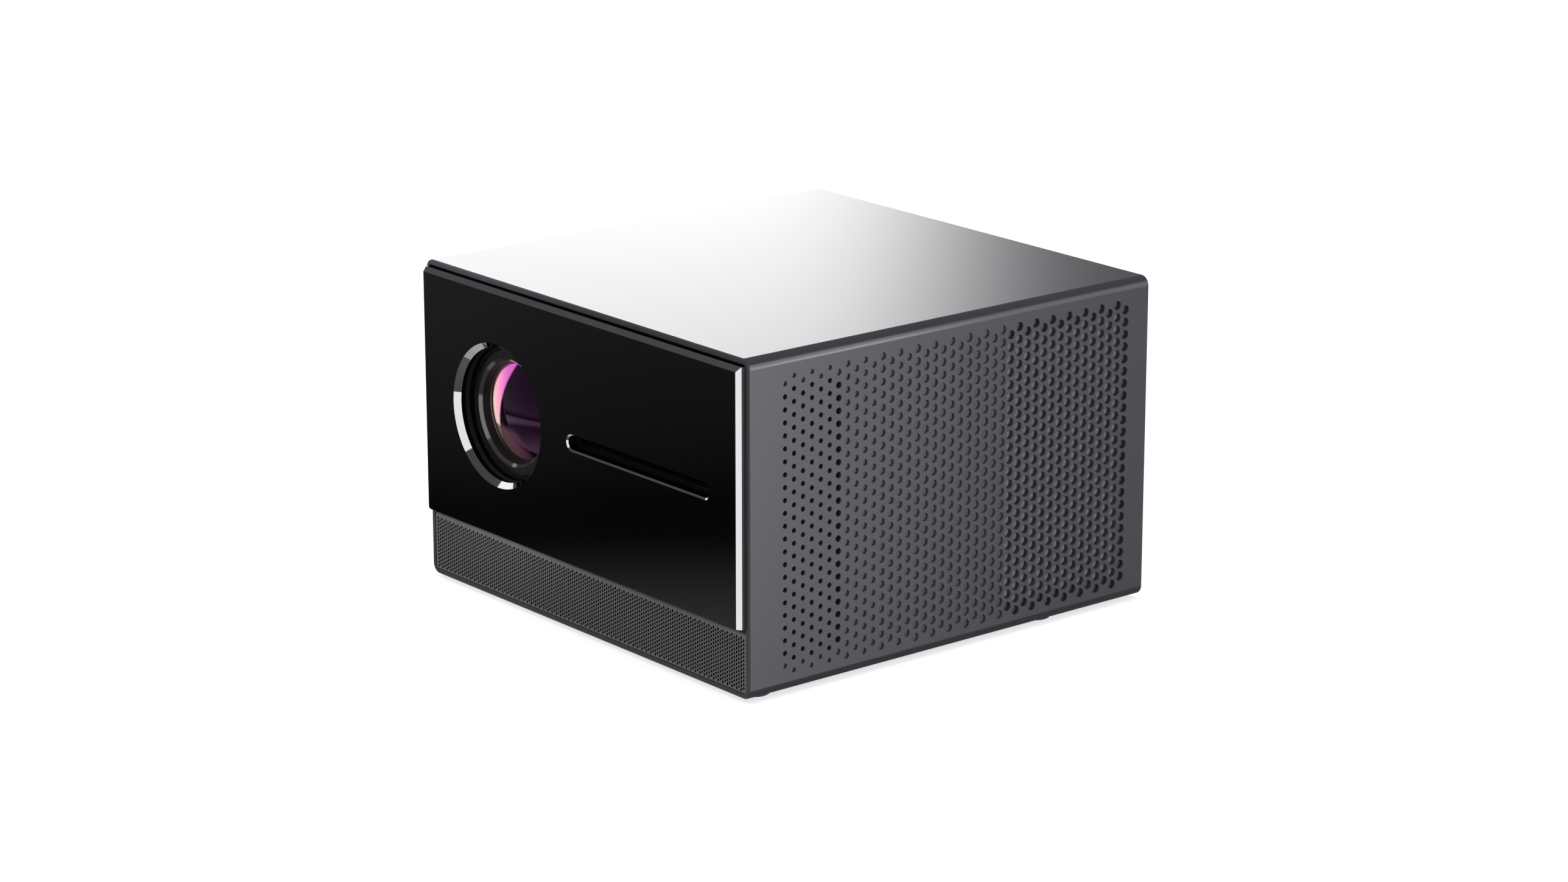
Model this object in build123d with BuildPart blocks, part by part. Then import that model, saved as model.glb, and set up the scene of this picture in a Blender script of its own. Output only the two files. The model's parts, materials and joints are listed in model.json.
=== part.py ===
from build123d import *
import os
from math import sqrt

os.makedirs("parts", exist_ok=True)

# Row frame: x to the right, y to the rear, z up. The origin lies under the middle of the
# projector, on the surface that its feet stand on. All sizes are in millimetres.

# Case shell
case_width = 290.0
case_depth = 285.0
case_height = 185.5
case_wall = 3.0
corner_radius = 5.5
inner_radius = 1.4
rim_round = 0.9
foot_standoff = 2.3
glass_proud = 4.5

# Clearances that pieces share
fit_gap = 0.3
running_gap = 0.05

front_y = (glass_proud - case_depth) / 2
rear_y = front_y + case_depth
base_z = foot_standoff
top_z = base_z + case_height
case_mid_z = (base_z + top_z) / 2
inner_x = case_width / 2 - case_wall
floor_z = base_z + case_wall
ceiling_z = top_z - case_wall
inner_height = ceiling_z - floor_z
seam_low = base_z + corner_radius
seam_high = top_z - corner_radius

# Vent field on each side, a triangular grid of round holes
vent_pitch = 7.02
vent_column_pitch = vent_pitch * sqrt(3) / 2
vent_first_column = 23.9
vent_rear_margin = 17.5
vent_end_margin = 11.8
vent_drop = 0.85
vent_small_diameter = 2.8
vent_medium_diameter = 3.6
vent_large_diameter = 5.1
vent_small_columns = 6
vent_front_columns = 7
vent_rear_first_column = 26
vent_front_margin_rows = 1
filter_thickness = 2.0

# Front glass
glass_thickness = 6.0
glass_side_gap = 0.5
glass_top_gap = 0.8
glass_bottom_height = 39.2
glass_bevel = 2.7
glass_seam = 0.4
glass_corner_radius = 1.4
optical_height = 109.2
lens_x = -73.0
lens_window_radius = 38.3
lens_window_bevel = 3.1
slot_x = 54.8
slot_length = 124.0
slot_height = 7.9
slot_bevel = 1.0

# Front frame and speaker strip
frame_thickness = 3.0
lug_length = 10.0
lug_width = 14.0
lug_height = 7.0
lug_x = 25.0
mesh_thickness = 1.2
mesh_height = 33.2
ledge_gap = 0.2
speaker_x = 80.0
speaker_rib_pitch = 10.0
speaker_rib_slots = 6
speaker_rib_slot_width = 7.0
speaker_rib_slot_height = 20.0
speaker_length = 76.0
speaker_width = 30.0
speaker_surround = 1.2
speaker_flange = 1.8
speaker_flange_border = 4.0
speaker_basket_depth = 14.0
speaker_wall = 1.5
magnet_radius = 12.0
magnet_depth = 9.0
coil_radius = 8.0
cone_depth = 8.0
cone_wall = 0.8

# Projection lens
barrel_radius = 35.5
barrel_recess = 9.8
barrel_length = 26.0
barrel_bore_radius = 28.5
barrel_bevel_outer_radius = 31.0
barrel_bevel_radius = 29.5
barrel_bevel_depth = 1.9
barrel_cone_depth = 6.5
retainer_width = 0.8
retainer_depth = 1.0
retainer_recess = 6.5
lens_edge = 4.0
lens_bulge = 6.5
rear_lens_radius = 22.0
rear_lens_edge = 3.0
rear_lens_bulge = 3.0
tube_wall = 4.5
tube_start = 11.3
tube_length = 38.0
tube_flange = 4.0
focus_travel = 2.0
nut_radius = 4.0
nut_length = 8.0
arm_width = 6.0
focus_screw_radius = 1.5
focus_screw_length = 16.0
focus_shaft_seat = 4.0
focus_motor_radius = 6.0
focus_motor_length = 11.0
focus_screw_offset = 46.5

# Light engine behind the lens
engine_length = 110.0
engine_half_width = 46.0
engine_half_height = 45.5
engine_wall = 2.5
imager_width = 60.0
imager_height = 36.0
imager_thickness = 3.0
imager_distance = 24.0
condenser_radius = 30.0
condenser_edge = 3.0
condenser_bulge = 7.0
condenser_distance = 66.0
led_plate_thickness = 8.0
led_plate_half_size = 26.0
heatsink_base = 6.0
heatsink_depth = 52.0
heatsink_half_width = 40.0
heatsink_half_height = 38.0
heatsink_fin = 1.6
heatsink_fin_pitch = 6.0
post_radius = 4.0
engine_post_inset = 9.0

# Slot-loading disc drive
drive_width = 128.0
drive_depth = 127.0
drive_height = 12.7
drive_sheet = 0.8
drive_wall = 1.0
drive_front_gap = 2.2
disc_radius = 60.0
disc_thickness = 1.2
disc_drop = 4.9
shelf_thickness = 1.5
shelf_post_inset_x = 12.0
shelf_post_inset_y = 34.0
roller_radius = 2.9
roller_length = 116.0
roller_shaft_radius = 1.2
roller_inset = 10.0
deck_thickness = 0.8
deck_half_width = 30.0
deck_lift = 2.2
disc_margin = 2.0
spindle_motor_radius = 11.0
turntable_radius = 13.0
turntable_thickness = 1.0
hub_radius = 7.4
hub_height = 1.8
spindle_shaft_radius = 1.0
sled_start = 23.0
sled_length = 14.0
sled_half_width = 22.0
rod_radius = 0.75
rod_offset = 18.0
screw_offset = 25.0
lead_screw_radius = 0.75
objective_radius = 3.0
felt_border = 2.0
loading_motor_length = 20.0
loading_motor_size = 5.6
loading_motor_offset = 48.0

# Boards and cooling
board_thickness = 1.6
board_height = 8.0
standoff_radius = 3.0
standoff_inset = 6.0
main_board_width = 128.0
main_board_depth = 96.0
main_board_inset = 76.0
power_board_width = 92.0
power_board_depth = 108.0
power_board_inset = 54.0
transformer_size = 34.0
transformer_height = 26.0
chip_sink_size = 38.0
chip_sink_height = 14.0
fan_size = 80.0
fan_thickness = 25.0
fan_bore_gap = 2.0
fan_tip_gap = 1.0
fan_hub_radius = 15.0
fan_blades = 9
fan_blade_thickness = 1.2
fan_blade_root = 2.0
fan_blade_twist = 24.0
fan_shaft_radius = 1.5

# Rear panel
rear_recess = 1.5
rear_thickness = 3.0
rear_vent_radius = 2.2
rear_vent_pitch = 6.4
rear_vent_rings = 6
inlet_offset = 20.0
inlet_width = 24.0
inlet_opening_height = 16.0
inlet_depth = 19.0
inlet_wall = 2.0
inlet_pin_length = 13.0
hdmi_offsets = (-38.0, -16.0)
hdmi_width = 14.0
hdmi_opening = 4.6
usb_offsets = (8.0, 28.0)
usb_width = 13.1
usb_opening = 5.2
port_wall = 0.8
port_depth = 12.0
tongue_setback = 1.5
jack_offset = 48.0
jack_radius = 3.4
jack_bore_radius = 1.8
button_radius = 6.0
button_travel = 1.2
button_proud = 1.2
button_flange = 1.0
button_offsets = (-32.0, -4.0)
button_height = 60.0
switch_size = 6.0
switch_height = 4.0
button_board_margin = 12.0

# Feet and screws
foot_radius = 9.0
foot_top_radius = 10.0
foot_rim_height = 0.8
foot_peg_radius = 3.0
foot_side_inset = 16.0
foot_front_inset = 15.5
foot_rear_inset = 68.0
screw_radius = 1.4
screw_head_radius = 2.8
screw_head_height = 1.6
screw_length = 9.0


def facing(y):
    """Sketch plane across the depth at y, local y up, normal towards the front."""
    return Plane.XZ.offset(-y)


def sideways(x):
    """Sketch plane across the width at x, local x to the rear, local y up, normal to the right."""
    return Plane.YZ.offset(x)


def level(z):
    """Sketch plane at height z, normal up."""
    return Plane.XY.offset(z)


# Vents, boards and feet keep their place from the case's edges
vent_columns = int((case_depth - vent_first_column - vent_rear_margin) / vent_column_pitch) + 1
vent_long_rows = int((case_height - 2 * vent_end_margin) / vent_pitch) + 1
vent_middle_z = case_mid_z - vent_drop
main_board_x = main_board_inset - inner_x
power_board_x = inner_x - power_board_inset
hdmi_x = [main_board_x + offset for offset in hdmi_offsets]
usb_x = [main_board_x + offset for offset in usb_offsets]
jack_x = main_board_x + jack_offset
inlet_x = power_board_x + inlet_offset
button_x = [power_board_x + offset for offset in button_offsets]
foot_x = case_width / 2 - foot_side_inset

# Heights and depths that several pieces share
optical_z = base_z + optical_height
glass_front_y = front_y - glass_proud
glass_back_y = glass_front_y + glass_thickness
frame_back_y = glass_back_y + frame_thickness
rear_face_y = rear_y - rear_recess
rear_inner_y = rear_face_y - rear_thickness
frame_half_width = inner_x - fit_gap
glass_half_width = inner_x - glass_side_gap
glass_low = base_z + glass_bottom_height
glass_high = ceiling_z - glass_top_gap
mesh_low = floor_z + fit_gap
mesh_high = mesh_low + mesh_height
mesh_mid_z = (mesh_low + mesh_high) / 2


# Case: a top and a base cover that carry the rounded corners, and a perforated panel on each side
def cover(low, high):
    """Part of the case ring between two heights, with its outer rims rounded."""
    with BuildPart() as band:
        with BuildSketch(facing(rear_y)):
            with Locations((0, case_mid_z)):
                RectangleRounded(case_width, case_height, corner_radius)
                RectangleRounded(2 * inner_x, inner_height, inner_radius, mode=Mode.SUBTRACT)
            with Locations((0, (low + high) / 2)):
                Rectangle(case_width, high - low, mode=Mode.INTERSECT)
        extrude(amount=case_depth)
        ends = band.edges().group_by(Axis.Y)
        for rim in (ends[0], ends[-1]):
            skin = rim.sort_by(lambda edge: abs((edge @ 0.5).Z - case_mid_z))[-1]
            arcs = rim.filter_by(GeomType.CIRCLE).sort_by(SortBy.RADIUS)[-2:]
            fillet([skin] + arcs, rim_round)
    return band


top_cover = cover(seam_high, top_z)
foot_places = [
    (side * foot_x, y)
    for side in (-1, 1)
    for y in (front_y + foot_front_inset, rear_y - foot_rear_inset)
]
screw_places = [
    (side * lug_x, y)
    for side in (-1, 1)
    for y in (frame_back_y + lug_length / 2, rear_inner_y - lug_length / 2)
]

with BuildPart() as base_cover:
    add(cover(base_z, seam_low).part)
    with Locations(*[Plane(origin=(x, y, base_z), z_dir=(0, 0, -1)) for x, y in foot_places]):
        Hole(foot_peg_radius, depth=case_wall)
    with Locations(*[Plane(origin=(x, y, base_z), z_dir=(0, 0, -1)) for x, y in screw_places]):
        CounterBoreHole(screw_radius, screw_head_radius + fit_gap, screw_head_height, depth=case_wall)

with BuildPart() as case_screws:
    with BuildSketch(level(base_z)):
        with Locations(*screw_places):
            Circle(screw_head_radius)
    extrude(amount=screw_head_height)
    with BuildSketch(level(base_z)):
        with Locations(*screw_places):
            Circle(screw_radius)
    extrude(amount=screw_length)


def vent_centres(columns, margin_rows=0):
    """Hole centres on the side plane for some columns, short of margin_rows at each end."""
    centres = []
    for column in columns:
        rows = vent_long_rows - 1 if column % 2 == 0 else vent_long_rows
        for row in range(margin_rows, rows - margin_rows):
            along = front_y + vent_first_column + column * vent_column_pitch
            up = vent_middle_z + (row - (rows - 1) / 2) * vent_pitch
            centres.append((along, up))
    return centres


small_vents = vent_centres(range(vent_small_columns), vent_front_margin_rows)
medium_vents = vent_centres(range(vent_small_columns, vent_front_columns), vent_front_margin_rows)
large_vents = vent_centres(range(vent_rear_first_column, vent_columns))

with BuildPart() as side_panel_right:
    with BuildSketch(sideways(inner_x)):
        with Locations(((front_y + rear_y) / 2, (seam_low + seam_high) / 2)):
            Rectangle(case_depth, seam_high - seam_low)
        with Locations(*small_vents):
            Circle(vent_small_diameter / 2, mode=Mode.SUBTRACT)
        with Locations(*medium_vents):
            Circle(vent_medium_diameter / 2, mode=Mode.SUBTRACT)
        with Locations(*large_vents):
            Circle(vent_large_diameter / 2, mode=Mode.SUBTRACT)
    extrude(amount=case_wall)

with BuildPart() as side_panel_left:
    mirror(side_panel_right.part, about=Plane.YZ)

filter_front_y = front_y + vent_first_column + (vent_rear_first_column - 0.5) * vent_column_pitch
filter_rear_y = front_y + vent_first_column + (vent_columns - 1.5) * vent_column_pitch
filter_height = (vent_long_rows - 1) * vent_pitch

with BuildPart() as air_filter_right:
    with BuildSketch(sideways(inner_x - filter_thickness)):
        with Locations(((filter_front_y + filter_rear_y) / 2, vent_middle_z)):
            Rectangle(filter_rear_y - filter_front_y, filter_height)
    extrude(amount=filter_thickness)

with BuildPart() as air_filter_left:
    mirror(air_filter_right.part, about=Plane.YZ)

# Front: a moulded frame carries the glass, the speaker mesh and both speakers
ledge_low = mesh_high + ledge_gap
ledge_high = glass_low - ledge_gap
lug_places = [
    (side * lug_x, z)
    for side in (-1, 1)
    for z in (floor_z + fit_gap + lug_height / 2, ceiling_z - fit_gap - lug_height / 2)
]
speaker_slots = [
    (side * speaker_x + (number - (speaker_rib_slots - 1) / 2) * speaker_rib_pitch, mesh_mid_z)
    for side in (-1, 1)
    for number in range(speaker_rib_slots)
]

with BuildPart() as front_frame:
    with BuildSketch(facing(frame_back_y)):
        with Locations((0, case_mid_z)):
            RectangleRounded(2 * frame_half_width, inner_height - 2 * fit_gap, inner_radius - fit_gap)
        with Locations((lens_x, optical_z)):
            Circle(lens_window_radius, mode=Mode.SUBTRACT)
        with Locations((slot_x, optical_z)):
            SlotOverall(slot_length, slot_height, mode=Mode.SUBTRACT)
        with Locations(*speaker_slots):
            Rectangle(speaker_rib_slot_width, speaker_rib_slot_height, mode=Mode.SUBTRACT)
    extrude(amount=frame_thickness)
    with BuildSketch(facing(glass_back_y)):
        with Locations((0, (ledge_low + ledge_high) / 2)):
            Rectangle(2 * glass_half_width, ledge_high - ledge_low)
    extrude(amount=mesh_thickness)
    with BuildSketch(facing(frame_back_y + lug_length)):
        with Locations(*lug_places):
            Rectangle(lug_width, lug_height)
    extrude(amount=lug_length)
    with Locations(*[Plane(origin=(x, y, floor_z), z_dir=(0, 0, -1)) for x, y in screw_places]):
        Hole(screw_radius, depth=lug_height)

with BuildPart() as glass_panel:
    with BuildSketch(facing(glass_back_y)):
        with Locations((0, (glass_low + glass_high) / 2)):
            Rectangle(2 * glass_half_width, glass_high - glass_low)
    extrude(amount=glass_thickness)
    through_edges = glass_panel.edges().filter_by(Axis.Y)
    fillet(through_edges.group_by(Axis.Z)[0].sort_by(Axis.X)[0], glass_corner_radius)
    front_edges = glass_panel.faces().sort_by(Axis.Y)[0].edges()
    top_edge = front_edges.sort_by(Axis.Z)[-1]
    right_edge = front_edges.sort_by(Axis.X)[-1]
    chamfer([top_edge, right_edge], glass_bevel)
    front_edges = glass_panel.faces().sort_by(Axis.Y)[0].edges()
    bottom_edge = front_edges.sort_by(Axis.Z)[0]
    chamfer(bottom_edge, glass_seam)
    with BuildSketch(facing(glass_front_y)):
        with Locations((lens_x, optical_z)):
            Circle(lens_window_radius)
        with Locations((slot_x, optical_z)):
            SlotOverall(slot_length, slot_height)
    extrude(amount=-glass_thickness, mode=Mode.SUBTRACT)
    face = glass_panel.faces().sort_by(Axis.Y)[0]
    rings = face.inner_wires().sort_by(lambda wire: wire.length)
    chamfer(rings[-1].edges().filter_by(GeomType.CIRCLE), lens_window_bevel)
    face = glass_panel.faces().sort_by(Axis.Y)[0]
    rings = face.inner_wires().sort_by(lambda wire: wire.length)
    chamfer(rings[-1].edges(), slot_bevel)

with BuildPart() as speaker_mesh:
    with BuildSketch(facing(glass_back_y)):
        with Locations((0, mesh_mid_z)):
            Rectangle(2 * glass_half_width, mesh_height)
    extrude(amount=mesh_thickness)
    lower_corners = speaker_mesh.edges().filter_by(Axis.Y).group_by(Axis.Z)[0]
    fillet(lower_corners, inner_radius - fit_gap)


# Speakers
surround_back_y = frame_back_y + speaker_surround
flange_back_y = surround_back_y + speaker_flange
basket_back_y = flange_back_y + speaker_basket_depth
cone_length = speaker_length - 2 * speaker_flange_border
cone_width = speaker_width - 2 * speaker_flange_border


def speaker_basket(x):
    """Flange, cup and back wall of one speaker."""
    with BuildPart() as basket:
        with BuildSketch(facing(flange_back_y)):
            with Locations((x, mesh_mid_z)):
                SlotOverall(speaker_length, speaker_width)
                SlotOverall(cone_length, cone_width, mode=Mode.SUBTRACT)
        extrude(amount=speaker_flange)
        with BuildSketch(facing(basket_back_y)):
            with Locations((x, mesh_mid_z)):
                SlotOverall(cone_length + 2 * speaker_wall, cone_width + 2 * speaker_wall)
        extrude(amount=speaker_basket_depth)
        with BuildSketch(facing(basket_back_y - speaker_wall)):
            with Locations((x, mesh_mid_z)):
                SlotOverall(cone_length, cone_width)
        extrude(amount=speaker_basket_depth - speaker_wall, mode=Mode.SUBTRACT)
        with BuildSketch(facing(basket_back_y)):
            with Locations((x, mesh_mid_z)):
                Circle(coil_radius + fit_gap)
        extrude(amount=speaker_wall, mode=Mode.SUBTRACT)
    return basket


def speaker_cone(x):
    """Flat surround clamped behind the front frame, with the diaphragm hanging inside it."""
    cone_back_y = surround_back_y + cone_depth
    hung_length = cone_length - 2 * fit_gap
    hung_width = cone_width - 2 * fit_gap
    with BuildPart() as cone:
        with BuildSketch(facing(surround_back_y)):
            with Locations((x, mesh_mid_z)):
                SlotOverall(speaker_length, speaker_width)
        extrude(amount=speaker_surround)
        with BuildSketch(facing(surround_back_y)):
            with Locations((x, mesh_mid_z)):
                SlotOverall(hung_length, hung_width)
        with BuildSketch(facing(cone_back_y)):
            with Locations((x, mesh_mid_z)):
                SlotOverall(2 * coil_radius + cone_wall, 2 * coil_radius)
        loft()
        with BuildSketch(facing(frame_back_y)):
            with Locations((x, mesh_mid_z)):
                SlotOverall(hung_length - 2 * cone_wall, hung_width - 2 * cone_wall)
        with BuildSketch(facing(cone_back_y - cone_wall)):
            with Locations((x, mesh_mid_z)):
                SlotOverall(2 * coil_radius - cone_wall, 2 * coil_radius - 2 * cone_wall)
        loft(mode=Mode.SUBTRACT)
    return cone


def speaker_magnet(x):
    """Magnet against the basket's back, with its pole reaching through to the coil."""
    with BuildPart() as magnet:
        with BuildSketch(facing(basket_back_y + magnet_depth)):
            with Locations((x, mesh_mid_z)):
                Circle(magnet_radius)
        extrude(amount=magnet_depth)
        with BuildSketch(facing(basket_back_y)):
            with Locations((x, mesh_mid_z)):
                Circle(coil_radius - cone_wall)
        extrude(amount=speaker_basket_depth - cone_depth)
    return magnet


speaker_basket_left = speaker_basket(-speaker_x)
speaker_basket_right = speaker_basket(speaker_x)
speaker_cone_left = speaker_cone(-speaker_x)
speaker_cone_right = speaker_cone(speaker_x)
speaker_magnet_left = speaker_magnet(-speaker_x)
speaker_magnet_right = speaker_magnet(speaker_x)

# Projection lens: a fixed tube with the focusing barrel sliding in it
lens_axis = (lens_x, optical_z)
barrel_front_y = glass_front_y + barrel_recess
barrel_back_y = barrel_front_y + barrel_length
tube_front_y = glass_front_y + tube_start
tube_back_y = tube_front_y + tube_length
tube_radius = barrel_radius + running_gap + tube_wall
engine_front_y = tube_back_y + tube_flange
retainer_y = barrel_front_y + retainer_recess
dome_radius = (barrel_bore_radius**2 + lens_bulge**2) / (2 * lens_bulge)
retainer_bore_radius = barrel_bore_radius - retainer_width
dome_rise = sqrt(dome_radius**2 - retainer_bore_radius**2) - sqrt(dome_radius**2 - barrel_bore_radius**2)
lens_rim_y = retainer_y + retainer_depth + dome_rise
screw_x = lens_x + focus_screw_offset
nut_y = barrel_back_y - nut_length / 2
arm_slot = nut_length + 2 * focus_travel + 2 * fit_gap
motor_front_y = tube_back_y - focus_motor_length


def about_lens(y):
    """Plane at depth y with its origin on the lens axis, normal towards the front."""
    return Plane(origin=(lens_x, y, optical_z), x_dir=(1, 0, 0), z_dir=(0, -1, 0))


with BuildPart() as lens_tube:
    with BuildSketch(facing(tube_back_y)):
        with Locations(lens_axis):
            Circle(tube_radius)
            Circle(barrel_radius + running_gap, mode=Mode.SUBTRACT)
    extrude(amount=tube_length)
    with BuildSketch(facing(engine_front_y)):
        with Locations(lens_axis):
            Rectangle(2 * engine_half_width, 2 * engine_half_height)
            Circle(rear_lens_radius + fit_gap, mode=Mode.SUBTRACT)
        with Locations((screw_x, optical_z)):
            Circle(focus_motor_radius)
    extrude(amount=tube_flange)
    with BuildSketch(sideways(lens_x)):
        with Locations((nut_y, optical_z)):
            Rectangle(arm_slot, arm_width + 2 * fit_gap)
    extrude(amount=tube_radius + tube_wall, mode=Mode.SUBTRACT)

with BuildPart() as front_barrel:
    with BuildSketch(facing(barrel_back_y)):
        with Locations(lens_axis):
            Circle(barrel_radius)
            Circle(barrel_bore_radius, mode=Mode.SUBTRACT)
    extrude(amount=barrel_length)
    with BuildSketch(about_lens(barrel_front_y + barrel_cone_depth)):
        Circle(barrel_bore_radius)
    with BuildSketch(about_lens(barrel_front_y + barrel_bevel_depth)):
        Circle(barrel_bevel_radius)
    loft(mode=Mode.SUBTRACT)
    with BuildSketch(about_lens(barrel_front_y + barrel_bevel_depth)):
        Circle(barrel_bevel_radius)
    with BuildSketch(about_lens(barrel_front_y)):
        Circle(barrel_bevel_outer_radius)
    loft(mode=Mode.SUBTRACT)
    with BuildSketch(facing(nut_y + nut_length / 2)):
        with Locations((screw_x, optical_z)):
            Circle(nut_radius)
        with Locations(((screw_x + lens_x + barrel_radius) / 2, optical_z)):
            Rectangle(focus_screw_offset - barrel_radius + tube_wall, arm_width)
    extrude(amount=nut_length)
    with BuildSketch(facing(barrel_back_y)):
        with Locations((screw_x, optical_z)):
            Circle(focus_screw_radius + running_gap)
    extrude(amount=nut_length, mode=Mode.SUBTRACT)
    with BuildSketch(facing(barrel_back_y)):
        with Locations(lens_axis):
            Circle(barrel_bore_radius)
    extrude(amount=barrel_length - barrel_cone_depth, mode=Mode.SUBTRACT)

with BuildPart() as lens_retainer:
    with BuildSketch(facing(retainer_y + retainer_depth)):
        with Locations(lens_axis):
            Circle(barrel_bore_radius)
            Circle(retainer_bore_radius, mode=Mode.SUBTRACT)
    extrude(amount=retainer_depth)


def convex_lens(radius, rim_y, edge, bulge):
    """Lens with a domed front before a cylindrical edge and a flat back."""
    dome_radius = (radius**2 + bulge**2) / (2 * bulge)
    section = Plane(origin=(lens_x, rim_y + edge, optical_z), x_dir=(1, 0, 0), z_dir=(0, 0, -1))
    with BuildPart() as lens:
        with BuildSketch(section):
            with BuildLine():
                Polyline((0, edge + bulge), (0, 0), (radius, 0), (radius, edge))
                RadiusArc((0, edge + bulge), (radius, edge), dome_radius)
            make_face()
        revolve(axis=Axis((lens_x, 0, optical_z), (0, 1, 0)))
    return lens


front_lens = convex_lens(barrel_bore_radius, lens_rim_y, lens_edge, lens_bulge)
rear_lens = convex_lens(rear_lens_radius, engine_front_y - rear_lens_edge, rear_lens_edge, rear_lens_bulge)

with BuildPart() as focus_screw:
    with BuildSketch(facing(motor_front_y + focus_shaft_seat)):
        with Locations((screw_x, optical_z)):
            Circle(focus_screw_radius)
    extrude(amount=focus_screw_length + focus_shaft_seat)

with BuildPart() as focus_motor:
    with BuildSketch(facing(tube_back_y)):
        with Locations((screw_x, optical_z)):
            Circle(focus_motor_radius)
    extrude(amount=focus_motor_length)
    with BuildSketch(facing(motor_front_y)):
        with Locations((screw_x, optical_z)):
            Circle(focus_screw_radius + running_gap)
    extrude(amount=-focus_shaft_seat - fit_gap, mode=Mode.SUBTRACT)

# Light engine
engine_back_y = engine_front_y + engine_length
engine_low = optical_z - engine_half_height
engine_high = optical_z + engine_half_height

with BuildPart() as engine_box:
    with BuildSketch(facing(engine_back_y)):
        with Locations(lens_axis):
            Rectangle(2 * engine_half_width, 2 * engine_half_height)
    extrude(amount=engine_length)
    with BuildSketch(facing(engine_back_y - engine_wall)):
        with Locations((lens_x, optical_z + engine_wall)):
            Rectangle(2 * (engine_half_width - engine_wall), 2 * engine_half_height)
    extrude(amount=engine_length - 2 * engine_wall, mode=Mode.SUBTRACT)
    with BuildSketch(facing(engine_back_y)):
        with Locations(lens_axis):
            Circle(rear_lens_radius)
    extrude(amount=engine_length, mode=Mode.SUBTRACT)

with BuildPart() as engine_lid:
    with BuildSketch(level(engine_high)):
        with Locations((lens_x, (engine_front_y + engine_back_y) / 2)):
            Rectangle(2 * engine_half_width, engine_length)
    extrude(amount=engine_wall)

with BuildPart() as imager_panel:
    with BuildSketch(facing(engine_front_y + imager_distance)):
        with Locations(lens_axis):
            Rectangle(2 * (engine_half_width - engine_wall), 2 * (engine_half_height - engine_wall))
            Rectangle(imager_width, imager_height, mode=Mode.SUBTRACT)
    extrude(amount=imager_thickness)
    with BuildSketch(facing(engine_front_y + imager_distance - imager_thickness / 4)):
        with Locations(lens_axis):
            Rectangle(imager_width, imager_height)
    extrude(amount=imager_thickness / 2)

with BuildPart() as condenser_holder:
    with BuildSketch(facing(engine_front_y + condenser_distance)):
        with Locations(lens_axis):
            Rectangle(2 * (engine_half_width - engine_wall), 2 * (engine_half_height - engine_wall))
            Circle(condenser_radius, mode=Mode.SUBTRACT)
    extrude(amount=condenser_edge)

condenser_lens = convex_lens(
    condenser_radius, engine_front_y + condenser_distance - condenser_edge, condenser_edge, condenser_bulge
)

with BuildPart() as led_module:
    with BuildSketch(facing(engine_back_y + led_plate_thickness)):
        with Locations(lens_axis):
            Rectangle(2 * led_plate_half_size, 2 * led_plate_half_size)
    extrude(amount=led_plate_thickness)
    with BuildSketch(facing(engine_back_y)):
        with Locations(lens_axis):
            Circle(rear_lens_radius - fit_gap)
    extrude(amount=engine_wall)

heatsink_front_y = engine_back_y + led_plate_thickness
heatsink_back_y = heatsink_front_y + heatsink_depth
fin_count = int((2 * heatsink_half_width - heatsink_fin) / heatsink_fin_pitch) + 1

with BuildPart() as led_heatsink:
    with BuildSketch(facing(heatsink_front_y + heatsink_base)):
        with Locations(lens_axis):
            Rectangle(2 * heatsink_half_width, 2 * heatsink_half_height)
    extrude(amount=heatsink_base)
    with BuildSketch(facing(heatsink_back_y)):
        with Locations(lens_axis):
            with GridLocations(heatsink_fin_pitch, 0, fin_count, 1):
                Rectangle(heatsink_fin, 2 * heatsink_half_height)
    extrude(amount=heatsink_depth - heatsink_base)

# Disc drive on its shelf
disc_low = optical_z - disc_thickness / 2
drive_top = optical_z + disc_drop
drive_low = drive_top - drive_height
drive_front_y = frame_back_y + drive_front_gap
drive_back_y = drive_front_y + drive_depth
drive_mid_y = (drive_front_y + drive_back_y) / 2
lid_low = drive_top - drive_sheet
mouth_height = lid_low - disc_low
tray_top = drive_low + drive_sheet
roller_y = drive_front_y + roller_inset
roller_z = disc_low - roller_radius - fit_gap

with BuildPart() as drive_shelf:
    with BuildSketch(level(drive_low - shelf_thickness)):
        with Locations((slot_x, drive_mid_y)):
            Rectangle(drive_width, drive_depth)
    extrude(amount=shelf_thickness)

with BuildPart() as support_posts:
    with BuildSketch(level(floor_z)):
        with Locations((lens_x, (engine_front_y + engine_back_y) / 2)):
            with GridLocations(
                2 * (engine_half_width - engine_post_inset), engine_length - 2 * engine_post_inset, 2, 2
            ):
                Circle(post_radius)
    extrude(amount=engine_low - floor_z)
    with BuildSketch(level(floor_z)):
        with Locations((slot_x, drive_mid_y)):
            with GridLocations(
                drive_width - 2 * shelf_post_inset_x, drive_depth - 2 * shelf_post_inset_y, 2, 2
            ):
                Circle(post_radius)
    extrude(amount=drive_low - shelf_thickness - floor_z)

with BuildPart() as drive_tray:
    with BuildSketch(level(drive_low)):
        with Locations((slot_x, drive_mid_y)):
            Rectangle(drive_width, drive_depth)
    extrude(amount=drive_height - drive_sheet)
    with BuildSketch(level(tray_top)):
        with Locations((slot_x, drive_mid_y)):
            Rectangle(drive_width - 2 * drive_wall, drive_depth - 2 * drive_wall)
    extrude(amount=drive_height, mode=Mode.SUBTRACT)
    with BuildSketch(facing(drive_front_y + drive_wall)):
        with Locations((slot_x, (disc_low + lid_low) / 2)):
            Rectangle(drive_width - 2 * drive_wall, mouth_height + 2 * fit_gap)
    extrude(amount=drive_wall, mode=Mode.SUBTRACT)
    with BuildSketch(sideways(slot_x - drive_width)):
        with Locations((roller_y, roller_z)):
            Circle(roller_shaft_radius + running_gap)
    extrude(amount=2 * drive_width, mode=Mode.SUBTRACT)

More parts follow.
